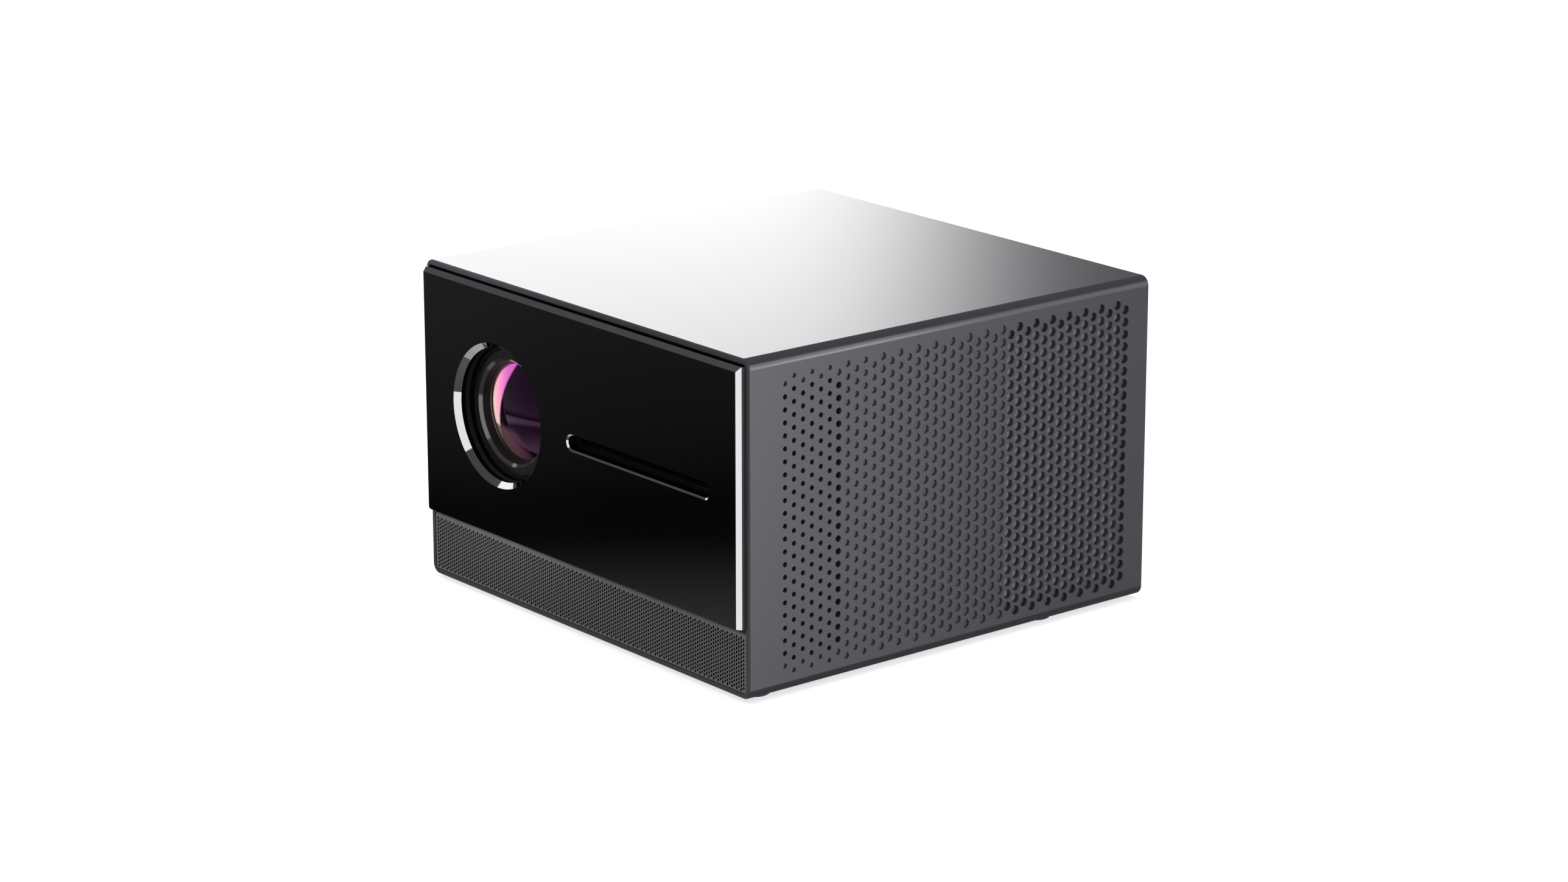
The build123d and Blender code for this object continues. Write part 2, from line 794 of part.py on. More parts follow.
with BuildPart() as drive_lid:
    with BuildSketch(level(lid_low)):
        with Locations((slot_x, drive_mid_y)):
            Rectangle(drive_width, drive_depth)
    extrude(amount=drive_sheet)

with BuildPart() as slot_felt:
    with BuildSketch(facing(drive_front_y)):
        with Locations((slot_x, (disc_low + lid_low) / 2)):
            RectangleRounded(slot_length + 2 * felt_border, mouth_height + 2 * felt_border, felt_border)
            Rectangle(slot_length, mouth_height, mode=Mode.SUBTRACT)
    extrude(amount=drive_front_gap)

with BuildPart() as feed_roller:
    with BuildSketch(sideways(slot_x - roller_length / 2)):
        with Locations((roller_y, roller_z)):
            Circle(roller_radius)
    extrude(amount=roller_length)
    with BuildSketch(sideways(slot_x - drive_width / 2 - drive_wall)):
        with Locations((roller_y, roller_z)):
            Circle(roller_shaft_radius)
    extrude(amount=drive_width + 2 * drive_wall)

with BuildPart() as loading_motor:
    with BuildSketch(level(tray_top)):
        with Locations((slot_x - loading_motor_offset, roller_y + loading_motor_length)):
            Rectangle(2 * loading_motor_size, loading_motor_length)
    extrude(amount=loading_motor_size)
    fillet(loading_motor.edges().filter_by(Axis.Y).group_by(Axis.Z)[-1], loading_motor_size / 3)

# Traverse deck: lifts the turntable into the disc's hole, and carries the pickup
deck_low = tray_top + fit_gap
deck_top = deck_low + deck_thickness
spindle_y = drive_front_y + disc_radius + disc_margin
turntable_z = disc_low - deck_lift
deck_back_y = drive_back_y - drive_wall - fit_gap
deck_front_y = spindle_y - spindle_motor_radius - deck_thickness
sled_rest_y = spindle_y + sled_start
sled_low = deck_top + fit_gap
sled_top = turntable_z - fit_gap
rod_z = (sled_low + sled_top) / 2
rod_front_y = sled_rest_y - sled_length / 2 - deck_thickness
motor_top_z = turntable_z - turntable_thickness - fit_gap

with BuildPart() as traverse_deck:
    with BuildSketch(level(deck_low)):
        with Locations((slot_x, (deck_front_y + deck_back_y) / 2)):
            Rectangle(2 * deck_half_width, deck_back_y - deck_front_y)
    extrude(amount=deck_thickness)
    with BuildSketch(level(deck_low)):
        with Locations((slot_x, spindle_y)):
            Circle(spindle_motor_radius)
    extrude(amount=motor_top_z - deck_low)
    with BuildSketch(level(deck_low)):
        with Locations((slot_x, (deck_back_y - deck_thickness / 2))):
            Rectangle(2 * deck_half_width, deck_thickness)
        with Locations((slot_x - rod_offset, rod_front_y), (slot_x + screw_offset, rod_front_y)):
            Rectangle(4 * rod_radius, deck_thickness)
    extrude(amount=rod_z + rod_radius + fit_gap - deck_low)
    with BuildSketch(facing(deck_back_y)):
        with Locations((slot_x - rod_offset, rod_z)):
            Circle(rod_radius)
    extrude(amount=deck_back_y - rod_front_y)
    with BuildSketch(level(deck_low)):
        with Locations((slot_x, spindle_y)):
            Circle(spindle_shaft_radius + running_gap)
    extrude(amount=drive_height, mode=Mode.SUBTRACT)
    with BuildSketch(facing(deck_back_y)):
        with Locations((slot_x + screw_offset, rod_z)):
            Circle(lead_screw_radius + running_gap)
    extrude(amount=deck_back_y - rod_front_y + deck_thickness, mode=Mode.SUBTRACT)

with BuildPart() as turntable:
    with BuildSketch(level(turntable_z - turntable_thickness)):
        with Locations((slot_x, spindle_y)):
            Circle(turntable_radius)
    extrude(amount=turntable_thickness)
    with BuildSketch(level(turntable_z)):
        with Locations((slot_x, spindle_y)):
            Circle(hub_radius)
    extrude(amount=hub_height)
    chamfer(turntable.edges().sort_by(Axis.Z)[-1], hub_height / 3)
    with BuildSketch(level(deck_low)):
        with Locations((slot_x, spindle_y)):
            Circle(spindle_shaft_radius)
    extrude(amount=turntable_z - deck_low)

with BuildPart() as pickup_sled:
    with BuildSketch(level(sled_low)):
        with Locations((slot_x, sled_rest_y)):
            Rectangle(2 * sled_half_width, sled_length)
        with Locations((slot_x + screw_offset, sled_rest_y)):
            Rectangle(2 * (screw_offset - sled_half_width + 2 * lead_screw_radius), sled_length / 2)
    extrude(amount=sled_top - sled_low)
    with BuildSketch(facing(sled_rest_y + sled_length)):
        with Locations((slot_x - rod_offset, rod_z), (slot_x + screw_offset, rod_z)):
            Circle(rod_radius + running_gap)
    extrude(amount=2 * sled_length, mode=Mode.SUBTRACT)
    with BuildSketch(level(sled_top)):
        with Locations((slot_x, sled_rest_y)):
            Circle(objective_radius)
    extrude(amount=fit_gap / 2)

with BuildPart() as lead_screw:
    with BuildSketch(facing(deck_back_y)):
        with Locations((slot_x + screw_offset, rod_z)):
            Circle(lead_screw_radius)
    extrude(amount=deck_back_y - rod_front_y + deck_thickness / 2)

# Boards on standoffs above the base cover
board_low = floor_z + board_height
board_rear_y = rear_inner_y - fit_gap


def board(x, width, depth):
    """Circuit board with its rear edge at the rear panel and a hole over each standoff."""
    with BuildPart() as plate:
        with BuildSketch(level(board_low)):
            with Locations((x, board_rear_y - depth / 2)):
                Rectangle(width, depth)
                with GridLocations(width - 2 * standoff_inset, depth - 2 * standoff_inset, 2, 2):
                    Circle(screw_radius, mode=Mode.SUBTRACT)
        extrude(amount=board_thickness)
    return plate


main_board = board(main_board_x, main_board_width, main_board_depth)
power_board = board(power_board_x, power_board_width, power_board_depth)

with BuildPart() as board_standoffs:
    with BuildSketch(level(floor_z)):
        for x, width, depth in (
            (main_board_x, main_board_width, main_board_depth),
            (power_board_x, power_board_width, power_board_depth),
        ):
            with Locations((x, board_rear_y - depth / 2)):
                with GridLocations(width - 2 * standoff_inset, depth - 2 * standoff_inset, 2, 2):
                    Circle(standoff_radius)
    extrude(amount=board_height)

board_top = board_low + board_thickness
with BuildPart() as power_transformer:
    with BuildSketch(level(board_top)):
        with Locations((power_board_x, board_rear_y - power_board_depth / 2)):
            Rectangle(transformer_size, transformer_size)
    extrude(amount=transformer_height)
    fillet(power_transformer.edges().filter_by(Axis.Z), 2 * fit_gap)

with BuildPart() as chip_heatsink:
    with BuildSketch(level(board_top)):
        with Locations((main_board_x, board_rear_y - main_board_depth / 2)):
            Rectangle(chip_sink_size, chip_sink_size)
    extrude(amount=chip_sink_height / 4)
    with BuildSketch(level(board_top)):
        with Locations((main_board_x, board_rear_y - main_board_depth / 2)):
            with GridLocations(heatsink_fin_pitch, 0, int(chip_sink_size / heatsink_fin_pitch), 1):
                Rectangle(heatsink_fin, chip_sink_size)
    extrude(amount=chip_sink_height)


# Exhaust fan
def fan_frame(plane, size, thickness):
    """Square duct with a hub plate on four struts; the plane lies on its outlet face."""
    bore_radius = size / 2 - fan_bore_gap
    with BuildPart() as frame:
        with BuildSketch(plane):
            RectangleRounded(size, size, fan_bore_gap)
            Circle(bore_radius, mode=Mode.SUBTRACT)
        extrude(amount=thickness)
        with BuildSketch(plane):
            Circle(fan_hub_radius)
            with PolarLocations(bore_radius / 2, 4):
                Rectangle(bore_radius + fan_bore_gap, fan_bore_gap)
        extrude(amount=fan_bore_gap)
        with BuildSketch(plane):
            Circle(fan_shaft_radius + running_gap)
        extrude(amount=fan_bore_gap, mode=Mode.SUBTRACT)
    return frame


def fan_rotor(plane, size, thickness):
    """Hub with twisted blades on a shaft that turns in the frame's hub plate."""
    tip_radius = size / 2 - fan_bore_gap - fan_tip_gap
    blade_length = tip_radius - fan_hub_radius + fan_blade_root
    blade_middle = tip_radius - blade_length / 2
    inner_plane = plane.offset(fan_bore_gap + fan_tip_gap)
    depth = thickness - fan_bore_gap - 2 * fan_tip_gap
    with BuildPart() as rotor:
        with BuildSketch(inner_plane):
            Circle(fan_hub_radius)
        extrude(amount=depth)
        for blade in range(fan_blades):
            for height, twist in ((0, 0), (depth, fan_blade_twist)):
                with BuildSketch(inner_plane.offset(height)):
                    with PolarLocations(blade_middle, 1, start_angle=blade * 360 / fan_blades + twist):
                        Rectangle(blade_length, fan_blade_thickness)
            loft()
        with BuildSketch(plane):
            Circle(fan_shaft_radius)
        extrude(amount=fan_bore_gap + fan_tip_gap)
    return rotor


exhaust_plane = Plane(origin=(lens_x, rear_inner_y, optical_z), x_dir=(1, 0, 0), z_dir=(0, -1, 0))
exhaust_fan_frame = fan_frame(exhaust_plane, fan_size, fan_thickness)
exhaust_fan_rotor = fan_rotor(exhaust_plane, fan_size, fan_thickness)

# Rear panel with its sockets and buttons
port_z = board_top + port_wall + usb_opening / 2
rear_vents = [
    (lens_x + column * rear_vent_pitch * sqrt(3) / 2, optical_z + (row + column / 2) * rear_vent_pitch)
    for column in range(-rear_vent_rings, rear_vent_rings + 1)
    for row in range(-rear_vent_rings, rear_vent_rings + 1)
    if abs(row + column) <= rear_vent_rings
]
inlet_z = board_top + inlet_wall + inlet_opening_height / 2
button_z = base_z + button_height

with BuildPart() as rear_panel:
    with BuildSketch(facing(rear_face_y)):
        with Locations((0, case_mid_z)):
            RectangleRounded(2 * frame_half_width, inner_height - 2 * fit_gap, inner_radius - fit_gap)
        with Locations(*rear_vents):
            Circle(rear_vent_radius, mode=Mode.SUBTRACT)
        with Locations((inlet_x, inlet_z)):
            Rectangle(
                inlet_width + 2 * (inlet_wall + fit_gap),
                inlet_opening_height + 2 * (inlet_wall + fit_gap),
                mode=Mode.SUBTRACT,
            )
        with Locations(*[(x, port_z) for x in hdmi_x]):
            Rectangle(
                hdmi_width + 2 * (port_wall + fit_gap),
                hdmi_opening + 2 * (port_wall + fit_gap),
                mode=Mode.SUBTRACT,
            )
        with Locations(*[(x, port_z) for x in usb_x]):
            Rectangle(
                usb_width + 2 * (port_wall + fit_gap),
                usb_opening + 2 * (port_wall + fit_gap),
                mode=Mode.SUBTRACT,
            )
        with Locations((jack_x, port_z)):
            Circle(jack_radius + fit_gap, mode=Mode.SUBTRACT)
        with Locations(*[(x, button_z) for x in button_x]):
            Circle(button_radius + fit_gap, mode=Mode.SUBTRACT)
    extrude(amount=rear_thickness)
    with BuildSketch(facing(rear_inner_y)):
        with Locations(*lug_places):
            Rectangle(lug_width, lug_height)
    extrude(amount=lug_length)
    with Locations(*[Plane(origin=(x, y, floor_z), z_dir=(0, 0, -1)) for x, y in screw_places]):
        Hole(screw_radius, depth=lug_height)


def port_shells(centres, width, opening):
    """Open metal shells with a contact tongue on the back wall, flush with the rear face."""
    with BuildPart() as ports:
        with BuildSketch(facing(rear_face_y)):
            with Locations(*[(x, port_z) for x in centres]):
                Rectangle(width + 2 * port_wall, opening + 2 * port_wall)
        extrude(amount=port_depth)
        with BuildSketch(facing(rear_face_y)):
            with Locations(*[(x, port_z) for x in centres]):
                Rectangle(width, opening)
        extrude(amount=port_depth - port_wall, mode=Mode.SUBTRACT)
        with BuildSketch(facing(rear_face_y - tongue_setback)):
            with Locations(*[(x, port_z + opening / 4) for x in centres]):
                Rectangle(width - 4 * port_wall, 2 * port_wall)
        extrude(amount=port_depth - port_wall - tongue_setback)
    return ports


hdmi_ports = port_shells(hdmi_x, hdmi_width, hdmi_opening)
usb_ports = port_shells(usb_x, usb_width, usb_opening)

with BuildPart() as audio_jack:
    with BuildSketch(facing(rear_face_y)):
        with Locations((jack_x, port_z)):
            Circle(jack_radius)
    extrude(amount=rear_thickness)
    with BuildSketch(facing(rear_face_y - rear_thickness)):
        with Locations((jack_x, port_z)):
            Rectangle(2 * jack_radius, 2 * jack_radius)
    extrude(amount=port_depth - rear_thickness)
    with BuildSketch(facing(rear_face_y)):
        with Locations((jack_x, port_z)):
            Circle(jack_bore_radius)
    extrude(amount=port_depth - port_wall, mode=Mode.SUBTRACT)

with BuildPart() as power_inlet:
    with BuildSketch(facing(rear_face_y)):
        with Locations((inlet_x, inlet_z)):
            Rectangle(inlet_width + 2 * inlet_wall, inlet_opening_height + 2 * inlet_wall)
    extrude(amount=inlet_depth + inlet_wall)
    with BuildSketch(facing(rear_face_y)):
        with Locations((inlet_x, inlet_z)):
            Rectangle(inlet_width, inlet_opening_height)
    extrude(amount=inlet_depth, mode=Mode.SUBTRACT)
    with BuildSketch(facing(rear_face_y - inlet_depth + inlet_pin_length)):
        with Locations((inlet_x, inlet_z)):
            with GridLocations(inlet_width / 3, 0, 3, 1):
                Rectangle(inlet_wall, 2 * inlet_wall)
    extrude(amount=inlet_pin_length)


def rear_button(x):
    """Push button with a flange that holds it behind the rear panel."""
    with BuildPart() as button:
        with BuildSketch(facing(rear_face_y + button_proud)):
            with Locations((x, button_z)):
                Circle(button_radius)
        extrude(amount=button_proud + rear_thickness + fit_gap)
        fillet(button.edges().sort_by(Axis.Y)[-1], button_proud / 2)
        with BuildSketch(facing(rear_inner_y - fit_gap)):
            with Locations((x, button_z)):
                Circle(button_radius + 2 * button_flange)
        extrude(amount=button_flange)
    return button


power_button = rear_button(button_x[0])
eject_button = rear_button(button_x[1])

switch_front_y = rear_inner_y - fit_gap - button_flange - button_travel - fit_gap
with BuildPart() as button_board:
    with BuildSketch(facing(switch_front_y - switch_height)):
        with Locations((sum(button_x) / 2, button_z)):
            Rectangle(button_x[1] - button_x[0] + 4 * button_board_margin, 2 * button_board_margin)
    extrude(amount=board_thickness)
    with BuildSketch(facing(switch_front_y)):
        with Locations(*[(x, button_z) for x in button_x]):
            Rectangle(switch_size, switch_size)
    extrude(amount=switch_height)
    with BuildSketch(facing(rear_inner_y)):
        with Locations((sum(button_x) / 2, button_z)):
            with GridLocations(button_x[1] - button_x[0] + 3 * button_board_margin, 0, 2, 1):
                Circle(standoff_radius)
    extrude(amount=rear_inner_y - switch_front_y + switch_height)


# Feet
def foot(x, y):
    """Round rubber foot with a peg pressed into the base cover."""
    with BuildPart() as pad:
        with BuildSketch(level(0)):
            with Locations((x, y)):
                Circle(foot_radius)
        extrude(amount=foot_standoff)
        with BuildSketch(level(foot_standoff - foot_rim_height)):
            with Locations((x, y)):
                Circle(foot_top_radius)
        extrude(amount=foot_rim_height)
        fillet(pad.edges().sort_by(Axis.Z)[0], foot_rim_height)
        with BuildSketch(level(foot_standoff)):
            with Locations((x, y)):
                Circle(foot_peg_radius)
        extrude(amount=case_wall)
    return pad


foot_front_left, foot_rear_left, foot_front_right, foot_rear_right = [foot(x, y) for x, y in foot_places]

pieces = {
    "top_cover": top_cover,
    "base_cover": base_cover,
    "side_panel_left": side_panel_left,
    "side_panel_right": side_panel_right,
    "air_filter_left": air_filter_left,
    "air_filter_right": air_filter_right,
    "front_frame": front_frame,
    "glass_panel": glass_panel,
    "speaker_mesh": speaker_mesh,
    "speaker_basket_left": speaker_basket_left,
    "speaker_basket_right": speaker_basket_right,
    "speaker_cone_left": speaker_cone_left,
    "speaker_cone_right": speaker_cone_right,
    "speaker_magnet_left": speaker_magnet_left,
    "speaker_magnet_right": speaker_magnet_right,
    "lens_tube": lens_tube,
    "front_barrel": front_barrel,
    "lens_retainer": lens_retainer,
    "front_lens": front_lens,
    "rear_lens": rear_lens,
    "focus_screw": focus_screw,
    "focus_motor": focus_motor,
    "engine_box": engine_box,
    "engine_lid": engine_lid,
    "imager_panel": imager_panel,
    "condenser_holder": condenser_holder,
    "condenser_lens": condenser_lens,
    "led_module": led_module,
    "led_heatsink": led_heatsink,
    "drive_shelf": drive_shelf,
    "support_posts": support_posts,
    "drive_tray": drive_tray,
    "drive_lid": drive_lid,
    "slot_felt": slot_felt,
    "feed_roller": feed_roller,
    "loading_motor": loading_motor,
    "traverse_deck": traverse_deck,
    "turntable": turntable,
    "pickup_sled": pickup_sled,
    "lead_screw": lead_screw,
    "main_board": main_board,
    "power_board": power_board,
    "board_standoffs": board_standoffs,
    "power_transformer": power_transformer,
    "chip_heatsink": chip_heatsink,
    "exhaust_fan_frame": exhaust_fan_frame,
    "exhaust_fan_rotor": exhaust_fan_rotor,
    "rear_panel": rear_panel,
    "hdmi_ports": hdmi_ports,
    "usb_ports": usb_ports,
    "audio_jack": audio_jack,
    "power_inlet": power_inlet,
    "power_button": power_button,
    "eject_button": eject_button,
    "button_board": button_board,
    "case_screws": case_screws,
    "foot_front_left": foot_front_left,
    "foot_front_right": foot_front_right,
    "foot_rear_left": foot_rear_left,
    "foot_rear_right": foot_rear_right,
}

for name, piece in pieces.items():
    piece.part.label = name
    export_step(piece.part, f"parts/{name}.step")
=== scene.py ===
import json
import math

import bpy
from mathutils import Matrix, Vector
from mathutils.geometry import delaunay_2d_cdt


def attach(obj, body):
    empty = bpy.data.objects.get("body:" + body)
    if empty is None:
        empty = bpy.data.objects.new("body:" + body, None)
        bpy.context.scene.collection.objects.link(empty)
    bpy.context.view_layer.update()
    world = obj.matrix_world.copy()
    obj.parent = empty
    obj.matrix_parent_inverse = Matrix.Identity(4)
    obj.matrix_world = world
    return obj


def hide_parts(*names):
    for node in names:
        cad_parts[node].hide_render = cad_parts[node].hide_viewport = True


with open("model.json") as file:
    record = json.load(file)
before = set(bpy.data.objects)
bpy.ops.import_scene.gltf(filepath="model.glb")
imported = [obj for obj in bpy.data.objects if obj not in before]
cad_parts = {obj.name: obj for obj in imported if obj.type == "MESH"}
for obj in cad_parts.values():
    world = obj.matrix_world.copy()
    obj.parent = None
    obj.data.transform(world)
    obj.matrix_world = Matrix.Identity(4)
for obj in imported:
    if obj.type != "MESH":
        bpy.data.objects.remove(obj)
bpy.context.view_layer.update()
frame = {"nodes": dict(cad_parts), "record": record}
nodes = frame["nodes"]

# Sizes of the case in millimetres: x to the right, y to the rear, z up
HALF_X = 145.0
FRONT_Y = -140.25
REAR_Y = 144.75
LOW_Z = 2.3
HIGH_Z = 187.8
WALL = 3.0
CORNER = 5.5
INNER_CORNER = 1.4
RIM = 0.9
SEAM_LOW = LOW_Z + CORNER
SEAM_HIGH = HIGH_Z - CORNER
FRONT_HALF_X = 141.5
GLASS_FRONT = -144.75
GLASS_BACK = -138.75
# Centres of the lens and of the disc slot, as (x, z)
LENS = (-73.0, 111.5)
SLOT = (54.8, 111.5)


# Materials
def new_material(name):
    material = bpy.data.materials.new(name)
    material.use_nodes = True
    tree = material.node_tree
    tree.nodes.clear()
    out = tree.nodes.new("ShaderNodeOutputMaterial")
    shader = tree.nodes.new("ShaderNodeBsdfPrincipled")
    tree.links.new(shader.outputs["BSDF"], out.inputs["Surface"])
    coords = tree.nodes.new("ShaderNodeTexCoord")
    return material, tree, shader, coords.outputs["Object"]


def noise(tree, coords, scale, detail=3.0, stretch=None):
    if stretch:
        mapping = tree.nodes.new("ShaderNodeMapping")
        mapping.inputs["Scale"].default_value = stretch
        tree.links.new(coords, mapping.inputs["Vector"])
        coords = mapping.outputs["Vector"]
    node = tree.nodes.new("ShaderNodeTexNoise")
    node.inputs["Scale"].default_value = scale
    node.inputs["Detail"].default_value = detail
    tree.links.new(coords, node.inputs["Vector"])
    return node.outputs["Fac"]


def feed(tree, socket, value):
    """Give a socket a plain number or the output of another node."""
    if isinstance(value, float):
        socket.default_value = value
    else:
        tree.links.new(value, socket)


def maths(tree, operation, *values):
    node = tree.nodes.new("ShaderNodeMath")
    node.operation = operation
    for socket, value in zip(node.inputs, values):
        feed(tree, socket, value)
    return node.outputs[0]


def ranged(tree, value, low, high, start=0.3, end=0.7, interpolation="LINEAR"):
    """Go from low to high as value goes from start to end."""
    node = tree.nodes.new("ShaderNodeMapRange")
    node.interpolation_type = interpolation
    node.inputs["From Min"].default_value = start
    node.inputs["From Max"].default_value = end
    node.inputs["To Min"].default_value = low
    node.inputs["To Max"].default_value = high
    tree.links.new(value, node.inputs["Value"])
    return node.outputs["Result"]


def colour_ramp(tree, value, *stops):
    """Colour picked by value from stops of (position, colour)."""
    ramp = tree.nodes.new("ShaderNodeValToRGB")
    elements = ramp.color_ramp.elements
    elements[0].position, elements[1].position = stops[0][0], stops[-1][0]
    elements[0].color, elements[1].color = (*stops[0][1], 1.0), (*stops[-1][1], 1.0)
    for place, colour in stops[1:-1]:
        elements.new(place).color = (*colour, 1.0)
    tree.links.new(value, ramp.inputs["Fac"])
    return ramp.outputs["Color"]


def blended(tree, patches, first, second):
    return colour_ramp(tree, patches, (0.3, first), (0.7, second))


def mixed(tree, share, first, second):
    """Colour that goes from first to second as share goes from 0 to 1."""
    mix = tree.nodes.new("ShaderNodeMix")
    mix.data_type = "RGBA"
    for name, value in (("Factor", share), ("A", first), ("B", second)):
        tree.links.new(value, mix.inputs[name])
    return mix.outputs["Result"]


def bumped(tree, shader, height, strength, distance):
    bump = tree.nodes.new("ShaderNodeBump")
    bump.inputs["Strength"].default_value = strength
    bump.inputs["Distance"].default_value = distance
    tree.links.new(height, bump.inputs["Height"])
    tree.links.new(bump.outputs["Normal"], shader.inputs["Normal"])


def linear(value):
    """Linear light of one colour channel given as 0 to 255."""
    value = value / 255.0
    return value / 12.92 if value <= 0.04045 else ((value + 0.055) / 1.055) ** 2.4


def shade_of(red, green, blue):
    return tuple(linear(c) for c in (red, green, blue))


def surface(name, colour, rough, vary=0.12, rough_vary=0.05, grain=2500.0, bump=0.1, depth=0.00002,
            metallic=0.0, stretch=None, patch=18.0, **sockets):
    """Base colour varied in soft patches, with a fine grain in roughness and relief.

    patch and grain are noise scales per metre, depth is the relief in metres, and sockets
    are further values of the shader.
    """
    material, tree, shader, coords = new_material(name)
    darker = tuple(c * (1 - vary) for c in colour)
    lighter = tuple(min(1.0, c * (1 + vary)) for c in colour)
    patches = noise(tree, coords, patch, 4.0, stretch)
    tree.links.new(blended(tree, patches, darker, lighter), shader.inputs["Base Color"])
    fine = noise(tree, coords, grain, 2.0, stretch)
    tree.links.new(ranged(tree, fine, rough - rough_vary, rough + rough_vary), shader.inputs["Roughness"])
    bumped(tree, shader, fine, bump, depth)
    shader.inputs["Metallic"].default_value = metallic
    for socket, value in sockets.items():
        shader.inputs[socket].default_value = value
    return material


SHELL = surface("satin_shell", shade_of(79, 79, 87), 0.22, vary=0.04, rough_vary=0.004, grain=5200.0,
                bump=0.03, depth=0.00002, patch=9.0, IOR=1.5)
GLASS = surface("black_glass", shade_of(6, 6, 6), 0.03, vary=0.10, rough_vary=0.008, grain=900.0,
                bump=0.004, depth=0.00001, patch=6.0, IOR=1.5)
BEVEL = surface("polished_bevel", (0.78, 0.78, 0.79), 0.04, vary=0.03, rough_vary=0.01, grain=900.0,
                bump=0.003, depth=0.00001, metallic=1.0)
GROUND_EDGE = surface("ground_glass_edge", shade_of(74, 74, 76), 0.4, vary=0.05, grain=2600.0)
# Bevel at the barrel's mouth: its grey, lighter than the barrel, is partly a painted highlight, and its gloss
# is real
BARREL_EDGE_PAINTED_HIGHLIGHT = surface("barrel_edge_painted_highlight", shade_of(48, 48, 50), 0.1, vary=0.05, rough_vary=0.02, grain=2600.0,
                      bump=0.02, IOR=2.2)
# Slightly darker, rougher copy of the shell colour for the walls of the vents and deep dents: painted shade
PAINTED_SHADE_VENT_WALL = surface("painted_shade_vent_wall", shade_of(76, 76, 81), 0.4, vary=0.08, grain=3200.0, patch=30.0)
# Lighter copy of the shell colour for the walls of the dents: painted light
PAINTED_LIGHT_DENT_WALL = surface("painted_light_dent_wall", shade_of(112, 112, 118), 0.4, vary=0.08, grain=3200.0, patch=30.0)
# Darker copy of the shell colour for the floors of the dents: painted shade
PAINTED_SHADE_VENT_FLOOR = surface("painted_shade_vent_floor", shade_of(61, 61, 66), 0.26, vary=0.04, grain=3200.0, patch=30.0)
FRAME_BLACK = surface("frame_black", shade_of(40, 40, 42), 0.5, vary=0.1, grain=2600.0)
MESH = surface("mesh_paint", shade_of(146, 146, 147), 0.42, vary=0.06, grain=3000.0, metallic=0.3)
FILTER = surface("filter_foam", shade_of(222, 222, 228), 0.85, vary=0.14, grain=1400.0, bump=0.5,
                 depth=0.0004, patch=120.0)
RUBBER = surface("foot_rubber", shade_of(34, 34, 35), 0.62, vary=0.12, grain=1800.0, bump=0.2)
BARREL = surface("barrel_black", shade_of(22, 22, 23), 0.22, vary=0.06, grain=3000.0, metallic=0.2)
CONE = surface("barrel_cone", shade_of(22, 21, 16), 0.45, vary=0.08, grain=3000.0)
BRASS = surface("dull_brass", (0.16, 0.14, 0.09), 0.36, vary=0.1, grain=2600.0, metallic=1.0)
REAR = surface("rear_plastic", shade_of(66, 66, 69), 0.6, vary=0.05, grain=2600.0, bump=0.2,
               **{"Specular IOR Level": 0.25})
BLACK = surface("inner_black", shade_of(14, 14, 15), 0.6, vary=0.12, grain=2200.0)
STEEL = surface("brushed_sheet", (0.5, 0.5, 0.5), 0.34, vary=0.06, grain=900.0, metallic=1.0,
                stretch=(1.0, 12.0, 1.0))
DARK_STEEL = surface("black_screw", (0.06, 0.06, 0.06), 0.35, vary=0.1, grain=2600.0, metallic=0.9)
ALUMINIUM = surface("plain_aluminium", (0.66, 0.66, 0.67), 0.38, vary=0.05, grain=1800.0, metallic=1.0)
PLATED = surface("port_plating", (0.62, 0.62, 0.6), 0.28, vary=0.05, grain=2600.0, metallic=0.6)
BOARD = surface("solder_mask", (0.02, 0.11, 0.045), 0.35, vary=0.2, grain=1500.0, patch=90.0)
FELT = surface("slot_felt", shade_of(5, 5, 5), 0.95, vary=0.2, grain=3000.0, bump=0.2, depth=0.0001,
               **{"Specular IOR Level": 0.1})
PAPER = surface("cone_paper", shade_of(30, 30, 30), 0.8, vary=0.15, grain=1500.0, bump=0.3)
FERRITE = surface("ferrite", shade_of(60, 58, 56), 0.6, vary=0.15, grain=1500.0)
LABEL_YELLOW = surface("wound_tape", (0.35, 0.25, 0.05), 0.5, vary=0.12, grain=1200.0)
BUTTON = surface("button_gloss", shade_of(96, 96, 99), 0.22, vary=0.05, grain=2600.0)
INNER_GLASS = surface("inner_lens_glass", (0.9, 0.93, 0.96), 0.03, vary=0.02, rough_vary=0.01, grain=600.0,
                      bump=0.002, **{"Transmission Weight": 0.9, "IOR": 1.5})


